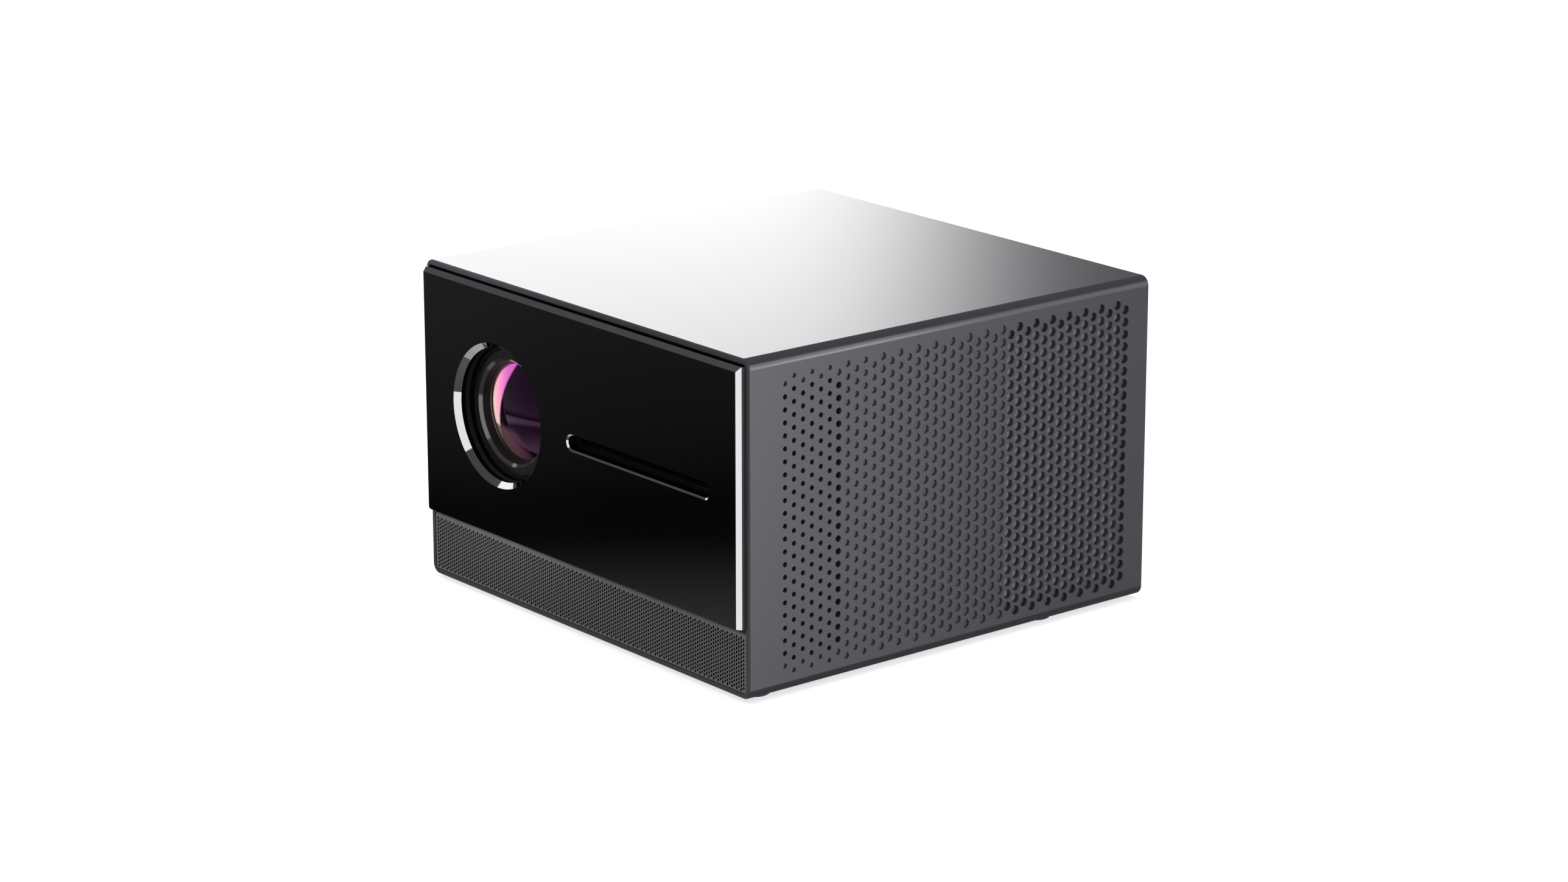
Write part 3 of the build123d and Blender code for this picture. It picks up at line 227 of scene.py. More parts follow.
def lens_with_painted_sheen():
    """Coated glass, nearly black seen straight; its base colour carries a painted pink and cream sheen and,
    low down, a painted warm reflection.
    """
    material, tree, shader, coords = new_material("lens_with_painted_sheen")
    geometry = tree.nodes.new("ShaderNodeNewGeometry")
    # Painted sheen: masked by facing against the normal turned over in height, which lifts the painted
    # crescent towards the top of the lens
    flip = tree.nodes.new("ShaderNodeVectorMath")
    flip.operation = "MULTIPLY"
    flip.inputs[1].default_value = (1.0, 1.0, -1.0)
    tree.links.new(geometry.outputs["Normal"], flip.inputs[0])
    rear = tree.nodes.new("ShaderNodeLayerWeight")
    tree.links.new(flip.outputs[0], rear.inputs["Normal"])
    painted_sheen_mask = colour_ramp(tree, rear.outputs["Facing"], (0.612, (0.0, 0.0, 0.0)), (0.636, (1.0, 1.0, 1.0)))
    parts = tree.nodes.new("ShaderNodeSeparateXYZ")
    tree.links.new(geometry.outputs["Normal"], parts.inputs[0])
    upward = parts.outputs[2]
    # The painted sheen is kept mostly to the upper part of the lens, by the height of the normal
    painted_sheen_upper = ranged(tree, upward, 0.12, 1.0, -0.19, -0.165)
    painted_sheen_share = maths(tree, "MULTIPLY", painted_sheen_mask, painted_sheen_upper)
    front = tree.nodes.new("ShaderNodeLayerWeight")
    # Colour of the painted sheen, pink turning to cream as the surface turns away
    painted_sheen_colour = colour_ramp(
        tree, front.outputs["Facing"], (0.50, (0.72, 0.15, 0.60)), (0.60, (0.95, 0.28, 0.60)),
        (0.70, (1.0, 0.52, 0.60)), (0.78, (1.0, 0.80, 0.66)),
    )
    patches = noise(tree, coords, 40.0, 2.0)
    body = blended(tree, patches, (0.0035, 0.0012, 0.0042), (0.0055, 0.0020, 0.0064))
    # Painted warm reflection of the barrel's inside, over the lower part of the lens
    painted_reflection_lower = ranged(tree, upward, 1.0, 0.0, -0.20, -0.14)
    painted_warm_reflection = colour_ramp(
        tree, front.outputs["Facing"], (0.44, (0.0, 0.0, 0.0)), (0.54, (0.09, 0.03, 0.06)),
        (0.68, (0.10, 0.056, 0.058)),
    )
    colour = mixed(tree, painted_sheen_share, mixed(tree, painted_reflection_lower, body, painted_warm_reflection), painted_sheen_colour)
    tree.links.new(colour, shader.inputs["Base Color"])
    fine = noise(tree, coords, 800.0, 2.0)
    tree.links.new(ranged(tree, fine, 0.02, 0.045), shader.inputs["Roughness"])
    bumped(tree, shader, fine, 0.003, 0.00001)
    shader.inputs["IOR"].default_value = 1.9
    shader.inputs["Specular Tint"].default_value = (1.0, 0.34, 0.95, 1.0)
    return material


LENS_GLASS = lens_with_painted_sheen()

SLOT_MATERIALS = {
    "case_shell": SHELL, "filter_foam": FILTER, "front_frame": FRAME_BLACK, "front_glass": GLASS,
    "speaker_mesh": MESH, "speaker_basket": BLACK, "speaker_cone": PAPER, "speaker_magnet": FERRITE,
    "lens_tube": BLACK, "barrel": BARREL, "retainer": BRASS, "front_lens": LENS_GLASS,
    "inner_lens": INNER_GLASS, "bright_steel": STEEL, "motor_can": STEEL, "engine_box": BLACK,
    "imager": BOARD, "lens_holder": ALUMINIUM, "led_module": ALUMINIUM, "heatsink": ALUMINIUM,
    "drive_sheet": STEEL, "posts": ALUMINIUM, "felt": FELT, "roller_rubber": RUBBER, "deck_steel": STEEL,
    "turntable": BLACK, "pickup": BLACK, "circuit_board": BOARD, "standoff_brass": BRASS,
    "transformer": LABEL_YELLOW, "fan_plastic": BLACK, "rear_panel": REAR, "port_metal": PLATED,
    "jack_plastic": BLACK, "inlet_plastic": BLACK, "button_plastic": BUTTON, "screw_steel": DARK_STEEL,
    "foot_rubber": RUBBER,
}
node_slot = {entry["node"]: entry["material_slot"] for entry in frame["record"]["subparts"]}
for name, node in nodes.items():
    node.data.materials.clear()
    node.data.materials.append(SLOT_MATERIALS[node_slot[name]])


# Mesh building
class Shape:
    """Vertices and faces in millimetres, gathered before they become one mesh."""

    def __init__(self):
        self.verts = []
        self.faces = []
        self.smooth = []
        self.slots = []

    def point(self, x, y, z):
        self.verts.append((x / 1000.0, y / 1000.0, z / 1000.0))
        return len(self.verts) - 1

    def copies(self, indices):
        """Points of their own for a face that turns sharply, so that smooth neighbours keep their normals."""
        start = len(self.verts)
        self.verts.extend(self.verts[index] for index in indices)
        return list(range(start, len(self.verts)))

    def ring(self, points):
        return [self.point(*p) for p in points]

    def ring_at(self, y, points):
        """Ring of (x, z) points at the depth y."""
        return self.ring([(x, y, z) for x, z in points])

    def face(self, indices, smooth=False, slot=0):
        self.faces.append(tuple(indices))
        self.smooth.append(smooth)
        self.slots.append(slot)

    def join(self, first, second, closed=True, smooth=True, slot=0):
        """Quads between two rings of the same length."""
        count = len(first)
        for i in range(count if closed else count - 1):
            j = (i + 1) % count
            self.face((first[i], first[j], second[j], second[i]), smooth, slot)

    def plate(self, outline, holes, to_point):
        """Flat face with holes; returns the points of its outline and then of each hole."""
        verts, triangles, loops = plate_triangles(outline, holes)
        ids = [self.point(*to_point(v.x, v.y)) for v in verts]
        for tri in triangles:
            self.face([ids[i] for i in tri], False)
        return [[ids[i] for i in loop] for loop in loops]

    def build(self, name, materials, body, *stands_for, slot, sharp_degrees=None):
        """Object of this shape that rides on body and stands for the named CAD nodes.

        Edges that turn by more than sharp_degrees are shaded as sharp.
        """
        mesh = bpy.data.meshes.new(name)
        mesh.from_pydata(self.verts, [], self.faces)
        mesh.polygons.foreach_set("use_smooth", self.smooth)
        mesh.polygons.foreach_set("material_index", self.slots)
        for material in materials:
            mesh.materials.append(material)
        mesh.validate()
        mesh.update()
        if sharp_degrees:
            mesh.set_sharp_from_angle(angle=math.radians(sharp_degrees))
        piece = bpy.data.objects.new(name, mesh)
        bpy.context.scene.collection.objects.link(piece)
        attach(piece, body)
        if stands_for:
            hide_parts(*stands_for)


def on_circle(u, v, radius, angle):
    return u + radius * math.cos(angle), v + radius * math.sin(angle)


def circle(u, v, radius, count):
    return [on_circle(u, v, radius, 2 * math.pi * k / count) for k in range(count)]


def stadium(u, v, length, height, count=18):
    """Closed outline of a slot with round ends of count steps, counter-clockwise."""
    radius = height / 2
    half = length / 2 - radius
    points = []
    for centre, start in ((u + half, -math.pi / 2), (u - half, math.pi / 2)):
        points += [on_circle(centre, v, radius, start + math.pi * k / count) for k in range(count + 1)]
    return points


def plate_triangles(outline, holes):
    """Triangles of a flat outline with holes cut out, and where each loop's points went."""
    coords, loops = [], []
    for loop in [outline, *holes]:
        loops.append(list(range(len(coords), len(coords) + len(loop))))
        coords.extend(Vector(p) for p in loop)
    verts, _, triangles, vert_sources, _, face_sources = delaunay_2d_cdt(coords, [], loops, 1, 1e-6)
    place = {source: index for index, sources in enumerate(vert_sources) for source in sources}
    kept = [tri for tri, sources in zip(triangles, face_sources) if set(sources) == {0}]
    return verts, kept, [[place[i] for i in loop] for loop in loops]


# Case covers
CORNER_STEPS = 10
COVER_RIM_STEPS = 5


def section(inset, top):
    """Outer and inner points of one cover's cross section, from right to left."""
    sign = 1.0 if top else -1.0
    edge = HIGH_Z if top else LOW_Z
    seam = SEAM_HIGH if top else SEAM_LOW
    radius = CORNER - inset
    outer = [(HALF_X - inset, seam)]
    inner = [(HALF_X - WALL, seam)]
    for k in range(1, CORNER_STEPS + 1):
        a = math.pi / 2 * k / CORNER_STEPS
        outer.append((HALF_X - CORNER + radius * math.cos(a), seam + sign * radius * math.sin(a)))
        inner.append((
            HALF_X - WALL - INNER_CORNER + INNER_CORNER * math.cos(a),
            edge - sign * (WALL + INNER_CORNER) + sign * INNER_CORNER * math.sin(a),
        ))
    left_outer = [(-x, z) for x, z in reversed(outer)]
    left_inner = [(-x, z) for x, z in reversed(inner)]
    return outer + left_outer, inner + left_inner


def cover(top, open_outside=False):
    """Top or base of the case with rounded rims; open_outside leaves its large outer face out."""
    shape = Shape()
    front = []
    for k in range(COVER_RIM_STEPS + 1):
        a = math.pi / 2 * (1 - k / COVER_RIM_STEPS)
        front.append((FRONT_Y + RIM * (1 - math.sin(a)), RIM * (1 - math.cos(a))))
    rear = [(REAR_Y - (y - FRONT_Y), inset) for y, inset in reversed(front)]
    outer_rings = [shape.ring_at(y, section(inset, top)[0]) for y, inset in front + rear]
    for number, (first, second) in enumerate(zip(outer_rings, outer_rings[1:])):
        for i in range(len(first) - 1):
            large_face = i == CORNER_STEPS and number == COVER_RIM_STEPS
            if large_face and open_outside:
                continue
            shape.face((first[i], first[i + 1], second[i + 1], second[i]), not large_face)
    inner = section(0, top)[1]
    inner_front = shape.ring_at(FRONT_Y, inner)
    inner_rear = shape.ring_at(REAR_Y, inner)
    shape.join(inner_front, inner_rear, closed=False, smooth=False)
    shape.join(outer_rings[0], inner_front, closed=False, smooth=False)
    shape.join(outer_rings[-1], inner_rear, closed=False, smooth=False)
    for end in (0, -1):
        loop = [ring[end] for ring in outer_rings] + [inner_rear[end], inner_front[end]]
        shape.face(shape.copies(loop), False)
    return shape


cover(True).build("top_shell", [SHELL], "case", "top_cover", slot="case_shell")

SCREWS = [(side * 25.0, y) for side in (-1, 1) for y in (-130.75, 135.25)]
WELL_RADIUS = 3.1
WELL_DEPTH = 1.6
WELL_POINTS = 28


def base_shell():
    """Base cover whose outer face has a well over each case screw."""
    shape = cover(False, open_outside=True)
    x1, y0, y1 = HALF_X - CORNER, FRONT_Y + RIM, REAR_Y - RIM
    outline = [(-x1, y0), (x1, y0), (x1, y1), (-x1, y1)]
    rims = [circle(x, y, WELL_RADIUS, WELL_POINTS) for x, y in SCREWS]
    _, *mouths = shape.plate(outline, rims, lambda x, y: (x, y, LOW_Z))
    for mouth, rim in zip(mouths, rims):
        well_floor = shape.ring([(x, y, LOW_Z + WELL_DEPTH) for x, y in rim])
        shape.join(mouth, well_floor)
        shape.face(well_floor, False)
    shape.build("base_shell", [SHELL], "case", "base_cover", slot="case_shell")


base_shell()


# Side panels with every vent and every blind dent
PITCH = 7.02
COLUMN_PITCH = PITCH * math.sqrt(3) / 2
COLUMNS = 41
ROWS = 24
FIRST_COLUMN_Y = FRONT_Y + 23.9
ROW_MIDDLE_Z = LOW_Z + 91.9
# Last column of each diameter, counted from the front
DIAMETERS = ((6, 2.8), (11, 3.6), (15, 4.2), (21, 4.7), (COLUMNS, 5.1))
LAST_FRONT_VENT = 7
LAST_DENT = 26
DENT_DEPTH = 1.2
END_DENT_DEPTH = 1.9
VENT_POINTS = 24
VENT_LIP = 0.05
SIDE_RIM_STEPS = 8


def vent_holes():
    """(y, z, radius, depth) of each round hole on a side; depth None goes through."""
    holes = []
    for number in range(1, COLUMNS + 1):
        rows = ROWS - number % 2
        y = FIRST_COLUMN_Y + (number - 1) * COLUMN_PITCH
        diameter = next(size for last, size in DIAMETERS if number <= last)
        for row in range(rows):
            z = ROW_MIDDLE_Z + (row - (rows - 1) / 2) * PITCH
            end_row = row in (0, rows - 1)
            if number == COLUMNS or number > LAST_DENT and end_row:
                depth = END_DENT_DEPTH
            elif number > LAST_DENT or number <= LAST_FRONT_VENT and not end_row:
                depth = None
            else:
                depth = DENT_DEPTH
            holes.append((y, z, diameter / 2, depth))
    return holes


def side_panel(side, name, node):
    """Side of the case; side is 1 for the right and -1 for the left."""
    shape = Shape()
    materials = [SHELL, PAINTED_SHADE_VENT_WALL, PAINTED_SHADE_VENT_FLOOR, PAINTED_LIGHT_DENT_WALL]
    # Hole walls and dent floors use copies of the shell colour, made darker or lighter as painted shade and
    # painted light in the holes
    painted_shade_vent_wall, painted_shade_vent_floor, painted_light_dent_wall = 1, 2, 3
    outer_x, lip_x, inner_x = HALF_X, HALF_X - VENT_LIP, HALF_X - WALL
    holes = vent_holes()
    y0, y1 = FRONT_Y + RIM, REAR_Y - RIM
    _, *mouths = shape.plate(
        [(y0, SEAM_LOW), (y1, SEAM_LOW), (y1, SEAM_HIGH), (y0, SEAM_HIGH)],
        [circle(y, z, radius + VENT_LIP, VENT_POINTS) for y, z, radius, _ in holes],
        lambda y, z: (side * outer_x, y, z),
    )
    through_rims, through_lips = [], []
    for mouth, (y, z, radius, depth) in zip(mouths, holes):
        rim = circle(y, z, radius, VENT_POINTS)
        lip = shape.ring([(side * lip_x, p, q) for p, q in rim])
        shape.join(mouth, lip, smooth=False)
        if depth is None:
            through_rims.append(rim)
            through_lips.append(lip)
        else:
            wall = shape.ring([(side * (outer_x - depth), p, q) for p, q in rim])
            shape.join(shape.copies(lip), wall, slot=painted_light_dent_wall if depth == DENT_DEPTH else painted_shade_vent_wall)
            shape.face(shape.copies(wall), False, painted_shade_vent_floor)
    inner_corners, *inner_mouths = shape.plate(
        [(FRONT_Y, SEAM_LOW), (REAR_Y, SEAM_LOW), (REAR_Y, SEAM_HIGH), (FRONT_Y, SEAM_HIGH)],
        through_rims,
        lambda y, z: (side * inner_x, y, z),
    )
    for lip, mouth in zip(through_lips, inner_mouths):
        shape.join(shape.copies(lip), shape.copies(mouth), slot=painted_shade_vent_wall)
    for sign, end_y, low, high in ((1, FRONT_Y, 0, 3), (-1, REAR_Y, 1, 2)):
        previous = None
        for k in range(SIDE_RIM_STEPS + 1):
            a = math.pi / 2 * k / SIDE_RIM_STEPS
            x = side * (outer_x - RIM * (1 - math.cos(a)))
            y = end_y + sign * RIM * (1 - math.sin(a))
            strip = [shape.point(x, y, SEAM_LOW), shape.point(x, y, SEAM_HIGH)]
            if previous:
                shape.face((previous[0], previous[1], strip[1], strip[0]), True)
            previous = strip
        shape.face((previous[0], previous[1], inner_corners[high], inner_corners[low]), False)
    shape.build(name, materials, "case", node, slot="case_shell")


side_panel(1, "perforated_side_right", "side_panel_right")
side_panel(-1, "perforated_side_left", "side_panel_left")


# Front glass with its polished bevels
GLASS_LOW_Z = 41.5
GLASS_HIGH_Z = 184.0
GLASS_CORNER = 1.4
GLASS_CORNER_STEPS = 6
GLASS_SEAM = 0.4
SIDE_BEVEL = 2.25
TOP_BEVEL = 2.7
TOP_BEVEL_DEPTH = 2.0
WINDOW_RADIUS = 38.3
WINDOW_BEVEL = 3.1
WINDOW_POINTS = 144
SLOT_SIZE = (124.0, 7.9)
SLOT_MOUTH_SIZE = (126.0, 9.9)
SLOT_BEVEL_DEPTH = 0.75


def glass_outline(low, right, high):
    """Counter-clockwise outline from the left, with one round corner, the lower left."""
    centre = (GLASS_CORNER - FRONT_HALF_X, low + GLASS_CORNER)
    points = []
    for k in range(GLASS_CORNER_STEPS + 1):
        points.append(on_circle(*centre, GLASS_CORNER, math.pi + math.pi / 2 * k / GLASS_CORNER_STEPS))
    return points + [(right, low), (right, high), (-FRONT_HALF_X, high)]


def glass():
    shape = Shape()
    materials = [GLASS, BEVEL, GROUND_EDGE, FELT]
    polished, bevel, ground, lined = range(4)
    right = FRONT_HALF_X - SIDE_BEVEL
    front_outline = glass_outline(GLASS_LOW_Z + GLASS_SEAM, right, GLASS_HIGH_Z - TOP_BEVEL)
    back_outline = glass_outline(GLASS_LOW_Z, FRONT_HALF_X, GLASS_HIGH_Z)
    window_mouth = circle(*LENS, WINDOW_RADIUS + WINDOW_BEVEL, WINDOW_POINTS)
    openings = [circle(*LENS, WINDOW_RADIUS, WINDOW_POINTS), stadium(*SLOT, *SLOT_SIZE)]
    border, *mouths = shape.plate(
        front_outline, [window_mouth, stadium(*SLOT, *SLOT_MOUTH_SIZE)], lambda x, z: (x, GLASS_FRONT, z)
    )
    # The edge lies a seam deep, but deeper at the two corners of the top, where the bevels end
    n = len(border)
    depths = [GLASS_SEAM] * (n - 2) + [SIDE_BEVEL, TOP_BEVEL_DEPTH]
    corner_low = shape.point(FRONT_HALF_X, GLASS_FRONT + SIDE_BEVEL, GLASS_LOW_Z)
    shoulder = shape.ring([(x, GLASS_FRONT + depth, z) for (x, z), depth in zip(back_outline, depths)])
    back = shape.ring_at(GLASS_BACK, back_outline)
    seam_end = shape.point(right, GLASS_FRONT + GLASS_SEAM, GLASS_LOW_Z)
    for i in range(n):
        j = (i + 1) % n
        if i == n - 4:
            # Bottom edge, whose right end carries both the seam and the side bevel
            shape.face((border[i], border[j], seam_end, shoulder[i]), False)
            shape.face((shoulder[i], seam_end, corner_low, back[j], back[i]), False)
        elif i == n - 3:
            # Side bevel at the right
            shape.face((border[i], border[j], shoulder[j], corner_low, seam_end), False, bevel)
            shape.face((corner_low, shoulder[j], back[j], back[i]), False, ground)
        elif i == n - 2:
            # Top bevel
            shape.face((border[i], border[j], shoulder[j], shoulder[i]), False, bevel)
            shape.face((shoulder[i], shoulder[j], back[j], back[i]), False)
        elif i == n - 1:
            # Left edge, without a bevel
            shape.face((border[i], border[j], shoulder[j]), False)
            shape.face((border[i], shoulder[j], back[j], back[i], shoulder[i]), False)
        else:
            shape.face((border[i], border[j], shoulder[j], shoulder[i]), True)
            shape.face((shoulder[i], shoulder[j], back[j], back[i]), True)
    bevel_depths = (WINDOW_BEVEL, SLOT_BEVEL_DEPTH)
    for mouth, opening, depth, wall in zip(mouths, openings, bevel_depths, (lined, polished)):
        lip = shape.ring_at(GLASS_FRONT + depth, opening)
        shape.join(mouth, lip, slot=bevel)
        opening_back = shape.ring_at(GLASS_BACK, opening)
        shape.join(lip, opening_back, slot=wall)
    shape.plate(back_outline, openings, lambda x, z: (x, GLASS_BACK, z))
    shape.build("front_glass", materials, "case", "glass_panel", slot="front_glass", sharp_degrees=25)


glass()


# Speaker mesh with a dark backing, its top folded to the rear
MESH_LOW_Z = 5.6
MESH_FOLD_Z = 37.1
MESH_FOLD_HEIGHT = 1.7
MESH_FOLD_DEPTH = 1.0
MESH_FOLD_STEPS = 5
MESH_FRONT = GLASS_BACK - 1.2
MESH_THICKNESS = 0.35
MESH_BACKING = GLASS_BACK - 0.1
MESH_MARGIN = 1.0
MESH_PITCH_X = 1.95
MESH_PITCH_Z = 2.2
MESH_ROWS = 14
MESH_HOLE_SIDES = 8
MESH_HOLE_HALF_X = 0.80
MESH_HOLE_HALF_Z = 0.86


def mesh_holes():
    """Outlines of the holes, in columns from left to right; every second column has one less."""
    holes = []
    columns = int(2 * (FRONT_HALF_X - MESH_MARGIN) / MESH_PITCH_X)
    turns = [2 * math.pi * k / MESH_HOLE_SIDES + math.pi / MESH_HOLE_SIDES for k in range(MESH_HOLE_SIDES)]
    for column in range(columns):
        x = -(columns - 1) * MESH_PITCH_X / 2 + column * MESH_PITCH_X
        rows = MESH_ROWS - column % 2
        for row in range(rows):
            z = (MESH_LOW_Z + MESH_FOLD_Z) / 2 + (row - (rows - 1) / 2) * MESH_PITCH_Z
            holes.append([
                (x + MESH_HOLE_HALF_X * math.cos(a), z + MESH_HOLE_HALF_Z * math.sin(a)) for a in turns
            ])
    return holes


def mesh_strip():
    shape = Shape()
    outline = [
        (-FRONT_HALF_X, MESH_LOW_Z), (FRONT_HALF_X, MESH_LOW_Z),
        (FRONT_HALF_X, MESH_FOLD_Z), (-FRONT_HALF_X, MESH_FOLD_Z),
    ]
    holes = mesh_holes()
    corners, *mouths = shape.plate(outline, holes, lambda x, z: (x, MESH_FRONT, z))
    for mouth, hole in zip(mouths, holes):
        # The hole walls take the black of the backing: painted shade inside the holes of the mesh
        shape.join(mouth, shape.ring_at(MESH_FRONT + MESH_THICKNESS, hole), smooth=False, slot=1)
    rear = shape.ring_at(GLASS_BACK, outline)
    # Lower, right and left edge
    for i, j in ((1, 0), (2, 1), (0, 3)):
        shape.join([corners[i], corners[j]], [rear[i], rear[j]], closed=False, smooth=False)
    edge = [corners[3], corners[2]]
    for k in range(1, MESH_FOLD_STEPS + 1):
        a = math.pi / 2 * k / MESH_FOLD_STEPS
        y = MESH_FRONT + MESH_FOLD_DEPTH * (1 - math.cos(a))
        z = MESH_FOLD_Z + MESH_FOLD_HEIGHT * math.sin(a)
        following = shape.ring_at(y, [(-FRONT_HALF_X, z), (FRONT_HALF_X, z)])
        shape.join(edge, following, closed=False)
        edge = following
    shape.face(shape.ring_at(MESH_BACKING, outline), False, 1)
    shape.build("speaker_grille", [MESH, BLACK], "case", "speaker_mesh", slot="speaker_mesh")


mesh_strip()


# Lens barrel, retainer, front lens and light seal
BARREL_Y = -134.95
LENS_POINTS = 128
LENS_RADIUS = 28.5
LENS_BULGE = 6.5
LENS_EDGE = 4.0
DOME_RADIUS = (LENS_RADIUS**2 + LENS_BULGE**2) / (2 * LENS_BULGE)
DOME_STEPS = 32
RETAINER_BORE = 27.7
RETAINER_BACK = BARREL_Y + 7.5
# Shallow steps inside the barrel that narrow towards the lens
BAFFLES = 9
BAFFLE_RADIUS = 29.2
BAFFLE_NARROWING = 0.85
BAFFLE_FRONT = BARREL_Y + 2.1
BAFFLE_LENGTH = 4.2


def lathe(profile, count=LENS_POINTS):
    """Rings about the axis of the lens; profile is (radius, y) pairs, and radius 0 gives one point."""
    shape = Shape()
    rings = [shape.ring_at(y, circle(*LENS, radius, count) if radius else [LENS]) for radius, y in profile]
    return shape, rings


def barrel_inside():
    profile = [(31.0, BARREL_Y - 0.02), (29.35, BARREL_Y + 1.63), (29.35, BARREL_Y + 1.95)]
    for k in range(BAFFLES):
        radius = BAFFLE_RADIUS - BAFFLE_NARROWING * k / BAFFLES
        for step in (k, k + 0.6):
            profile.append((radius, BAFFLE_FRONT + BAFFLE_LENGTH * step / BAFFLES))
    profile += [(28.3, BARREL_Y + 6.45), (28.45, BARREL_Y + 6.45)]
    shape, rings = lathe(profile)
    for number, (first, second) in enumerate(zip(rings, rings[1:])):
        # The first step, the bevel at the mouth, takes the lighter grey with its painted highlight
        shape.join(first, second, slot=1 if number == 0 else 0)
    shape.build("barrel_baffle_rings", [CONE, BARREL_EDGE_PAINTED_HIGHLIGHT], "focus_barrel", slot="barrel", sharp_degrees=20)


def retainer():
    shape, rings = lathe([
        (LENS_RADIUS, BARREL_Y + 6.5), (28.3, BARREL_Y + 6.3), (27.9, BARREL_Y + 6.6),
        (RETAINER_BORE, RETAINER_BACK), (LENS_RADIUS, RETAINER_BACK),
    ])
    for first, second in zip(rings, rings[1:]):
        shape.join(first, second)
    shape.build("retainer_ring", [BRASS], "focus_barrel", "lens_retainer", slot="retainer", sharp_degrees=30)


def dome_height(radius):
    """How far the front of the lens stands before its rim at this radius."""
    return math.sqrt(DOME_RADIUS**2 - radius**2) - math.sqrt(DOME_RADIUS**2 - LENS_RADIUS**2)


def front_lens():
    """Lens whose dome rests on the inner edge of the retainer."""
    rim_y = RETAINER_BACK + dome_height(RETAINER_BORE)
    profile = [(0.0, rim_y - LENS_BULGE)]
    for k in range(1, DOME_STEPS + 1):
        radius = LENS_RADIUS * k / DOME_STEPS
        profile.append((radius, rim_y - dome_height(radius)))
    profile += [(LENS_RADIUS, rim_y + LENS_EDGE), (0.0, rim_y + LENS_EDGE)]
    shape, rings = lathe(profile)
    (tip,), (rear_middle,) = rings[0], rings[-1]
    following = [(i, (i + 1) % LENS_POINTS) for i in range(LENS_POINTS)]
    for i, j in following:
        shape.face((tip, rings[1][i], rings[1][j]), True)
    for first, second in zip(rings[1:], rings[2:-1]):
        shape.join(first, second)
    for i, j in following:
        shape.face((rings[-2][i], rear_middle, rings[-2][j]), False)
    shape.build("coated_front_lens", [LENS_GLASS], "focus_barrel", "front_lens", slot="front_lens",
                sharp_degrees=40)


def light_seal():
    """Black foam ring that closes the gap behind the window."""
    shape, rings = lathe([(46.0, -133.7), (46.0, -134.7), (37.8, -134.7), (37.8, -133.7)], count=96)
    for first, second in zip(rings, rings[1:] + rings[:1]):
        shape.join(first, second, smooth=False)
    shape.build("lens_light_seal", [FELT], "case", slot="felt")


barrel_inside()
retainer()
front_lens()
light_seal()


# Camera
def camera():
    azimuth = math.radians(50.641)
    elevation = math.radians(16.112)
    back = Vector((
        math.sin(azimuth) * math.cos(elevation), -math.cos(azimuth) * math.cos(elevation), math.sin(elevation)
    ))
    right = Vector((math.cos(azimuth), math.sin(azimuth), 0.0))
    up = back.cross(right)
    data = bpy.data.cameras.new("view")
    data.sensor_width = 36.0
    data.sensor_fit = "HORIZONTAL"
    data.lens = 98.37
    data.clip_start = 0.01
    data.clip_end = 100.0
    view = bpy.data.objects.new("view", data)
    place = Vector((1.7993, -1.47395, 0.7588))
    view.matrix_world = Matrix.Translation(place) @ Matrix((right, up, back)).transposed().to_4x4()
    bpy.context.scene.collection.objects.link(view)
    bpy.context.scene.camera = view


camera()


# Studio: a pale floor, surroundings with soft boxes, a panel overhead and a narrow spot
FLOOR_HALF = 30.0
# Light added to the floor as the camera sees it, so that it comes out white
FLOOR_GLOW = 0.70


def floor_material():
    material = bpy.data.materials.new("studio_floor")
    material.use_nodes = True
    tree = material.node_tree
    tree.nodes.clear()
    out = tree.nodes.new("ShaderNodeOutputMaterial")
    diffuse = tree.nodes.new("ShaderNodeBsdfDiffuse")
    diffuse.inputs["Color"].default_value = (0.9, 0.9, 0.9, 1.0)
    glow = tree.nodes.new("ShaderNodeEmission")
    path = tree.nodes.new("ShaderNodeLightPath")
    strength = maths(tree, "MULTIPLY", path.outputs["Is Camera Ray"], FLOOR_GLOW)
    tree.links.new(strength, glow.inputs["Strength"])
    add = tree.nodes.new("ShaderNodeAddShader")
    tree.links.new(diffuse.outputs[0], add.inputs[0])
    tree.links.new(glow.outputs[0], add.inputs[1])
    tree.links.new(add.outputs[0], out.inputs["Surface"])
    return material


def floor():
    mesh = bpy.data.meshes.new("studio_floor")
    corners = [(x * FLOOR_HALF, y * FLOOR_HALF, 0) for x, y in ((-1, -1), (1, -1), (1, 1), (-1, 1))]
    mesh.from_pydata(corners, [], [(0, 1, 2, 3)])
    mesh.materials.append(floor_material())
    plane = bpy.data.objects.new("studio_floor", mesh)
    bpy.context.scene.collection.objects.link(plane)
    plane.visible_glossy = False


floor()


def soft_box(tree, bearing, elevation, bearings, elevations, strength):
    """A light patch of the surroundings that fades in and out at its four sides."""
    light = strength
    for angle, (fade_in, full_from, full_to, fade_out) in ((bearing, bearings), (elevation, elevations)):
        for start, end in ((fade_in, full_from), (fade_out, full_to)):
            side = ranged(tree, angle, 0.0, 1.0, start, end, "SMOOTHSTEP")
            light = maths(tree, "MULTIPLY", light, side)
    return light


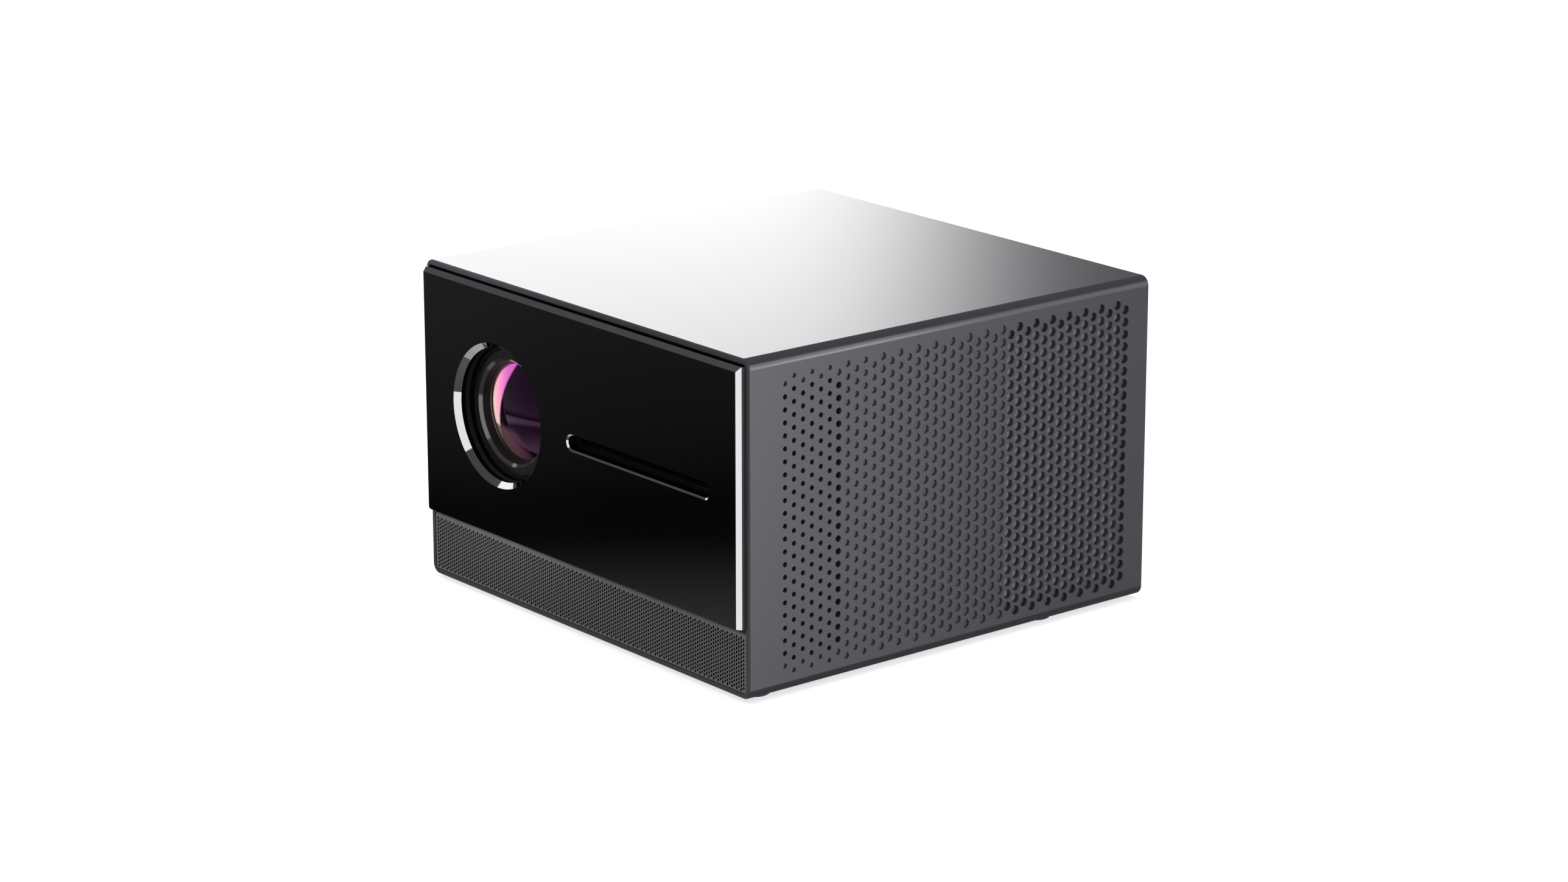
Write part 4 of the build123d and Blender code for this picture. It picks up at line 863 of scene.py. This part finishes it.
# Bearings and elevations as (fade in from, full from, full to, fade out to) in degrees, then the strength.
# Bearings count from the object's left towards its front, elevations from the horizontal.
SOFT_BOXES = (
    ((-43.3, -39.6, -24.0, -14.0), (-14.0, -4.0, 12.0, 24.0), 4.5),
    ((88.0, 89.0, 139.0, 140.0), (-26.5, -25.5, 36.5, 37.3), 1.0),
    ((-3.0, -2.0, 21.5, 22.5), (14.0, 15.0, 34.0, 35.0), 1.1),
    ((-1.5, 0.5, 13.0, 15.0), (0.0, 2.0, 14.5, 15.5), 1.1),
    ((-165.0, -150.0, -120.0, -105.0), (-12.0, -2.0, 22.0, 32.0), 1.8),
    ((-156.0, -147.0, -144.0, -139.5), (-27.0, -9.0, 3.0, 11.0), 8.6),
    ((-181.0, -180.5, -150.0, -143.0), (-27.0, -9.0, 3.0, 11.0), 4.6),
    ((-181.0, -180.5, -141.5, -136.5), (-4.0, 6.0, 24.0, 38.0), 3.4),
    ((138.0, 170.0, 180.5, 181.0), (-27.0, -9.0, -8.0, 11.0), 1.3),
    ((-60.0, -40.0, 74.0, 84.0), (-24.0, -20.5, -19.1, -17.15), 0.42),
    ((-60.0, -40.0, 74.0, 84.0), (-75.0, -65.0, -44.0, -20.0), 0.42),
    ((-104.0, -96.0, -70.0, -62.0), (-30.0, -16.0, 14.0, 28.0), 1.2),
)
# Elevation and brightness of the dim room round the soft boxes
ROOM = (
    (-60.0, 0.10), (-26.0, 0.08), (-18.0, 0.06), (-17.25, 0.008), (-16.9, 0.014), (-16.4, 0.045),
    (-15.9, 0.07), (-15.0, 0.10), (-13.9, 0.155), (-8.0, 0.12), (0.0, 0.09), (20.0, 0.08),
    (36.0, 0.07), (60.0, 0.06),
)
AMBIENT = 0.43


def surroundings():
    """White to the camera and even as a light; reflections see a dim room with the soft boxes."""
    world = bpy.data.worlds.new("studio")
    bpy.context.scene.world = world
    world.use_nodes = True
    tree = world.node_tree
    tree.nodes.clear()
    out = tree.nodes.new("ShaderNodeOutputWorld")
    coords = tree.nodes.new("ShaderNodeTexCoord")
    parts = tree.nodes.new("ShaderNodeSeparateXYZ")
    tree.links.new(coords.outputs["Generated"], parts.inputs[0])
    east, north, height = parts.outputs
    degrees = 180.0 / math.pi
    south, west = maths(tree, "MULTIPLY", north, -1.0), maths(tree, "MULTIPLY", east, -1.0)
    bearing = maths(tree, "MULTIPLY", maths(tree, "ARCTAN2", south, west), degrees)
    elevation = maths(tree, "MULTIPLY", maths(tree, "ARCSINE", height), degrees)
    low, high = ROOM[0][0], ROOM[-1][0]
    levels = [((place - low) / (high - low), (level, level, level)) for place, level in ROOM]
    reflected = colour_ramp(tree, ranged(tree, elevation, 0.0, 1.0, low, high), *levels)
    for bearings, elevations, strength in SOFT_BOXES:
        patch = soft_box(tree, bearing, elevation, bearings, elevations, strength)
        reflected = maths(tree, "MAXIMUM", reflected, patch)
    path = tree.nodes.new("ShaderNodeLightPath")
    mirrored = maths(tree, "MAXIMUM", path.outputs["Is Glossy Ray"], path.outputs["Is Transmission Ray"])
    lights = []
    for strength in (AMBIENT, reflected, 1.0):
        light = tree.nodes.new("ShaderNodeBackground")
        light.inputs["Color"].default_value = (1.0, 1.0, 1.0, 1.0)
        feed(tree, light.inputs["Strength"], strength)
        lights.append(light.outputs[0])
    result = lights[0]
    for choice, light in ((mirrored, lights[1]), (path.outputs["Is Camera Ray"], lights[2])):
        mix = tree.nodes.new("ShaderNodeMixShader")
        tree.links.new(choice, mix.inputs["Fac"])
        tree.links.new(result, mix.inputs[1])
        tree.links.new(light, mix.inputs[2])
        result = mix.outputs[0]
    tree.links.new(result, out.inputs["Surface"])


surroundings()


def hang(name, kind, power, place, target):
    """Lamp aimed at target that is not seen itself; returns its data."""
    data = bpy.data.lights.new(name, kind)
    data.energy = power
    lamp = bpy.data.objects.new(name, data)
    lamp.location = place
    lamp.rotation_euler = (Vector(target) - Vector(place)).to_track_quat("-Z", "Y").to_euler()
    lamp.visible_camera = False
    lamp.visible_glossy = False
    bpy.context.scene.collection.objects.link(lamp)
    return data


overhead = hang("overhead", "AREA", 13.0, (0.0, 0.0, 2.2), (0.0, 0.0, 0.0))
overhead.shape = "RECTANGLE"
overhead.size = 2.2
overhead.size_y = 2.2
# Narrow beam into the lens window, for the light on the steps inside the barrel
lens_spot = hang("lens_spot", "SPOT", 128.0, (-0.9, -1.6, 0.6), (-0.09, -0.13, 0.115))
lens_spot.spot_size = math.radians(6.0)
lens_spot.spot_blend = 1.0
lens_spot.shadow_soft_size = 0.05

bpy.context.scene.view_settings.view_transform = "Standard"
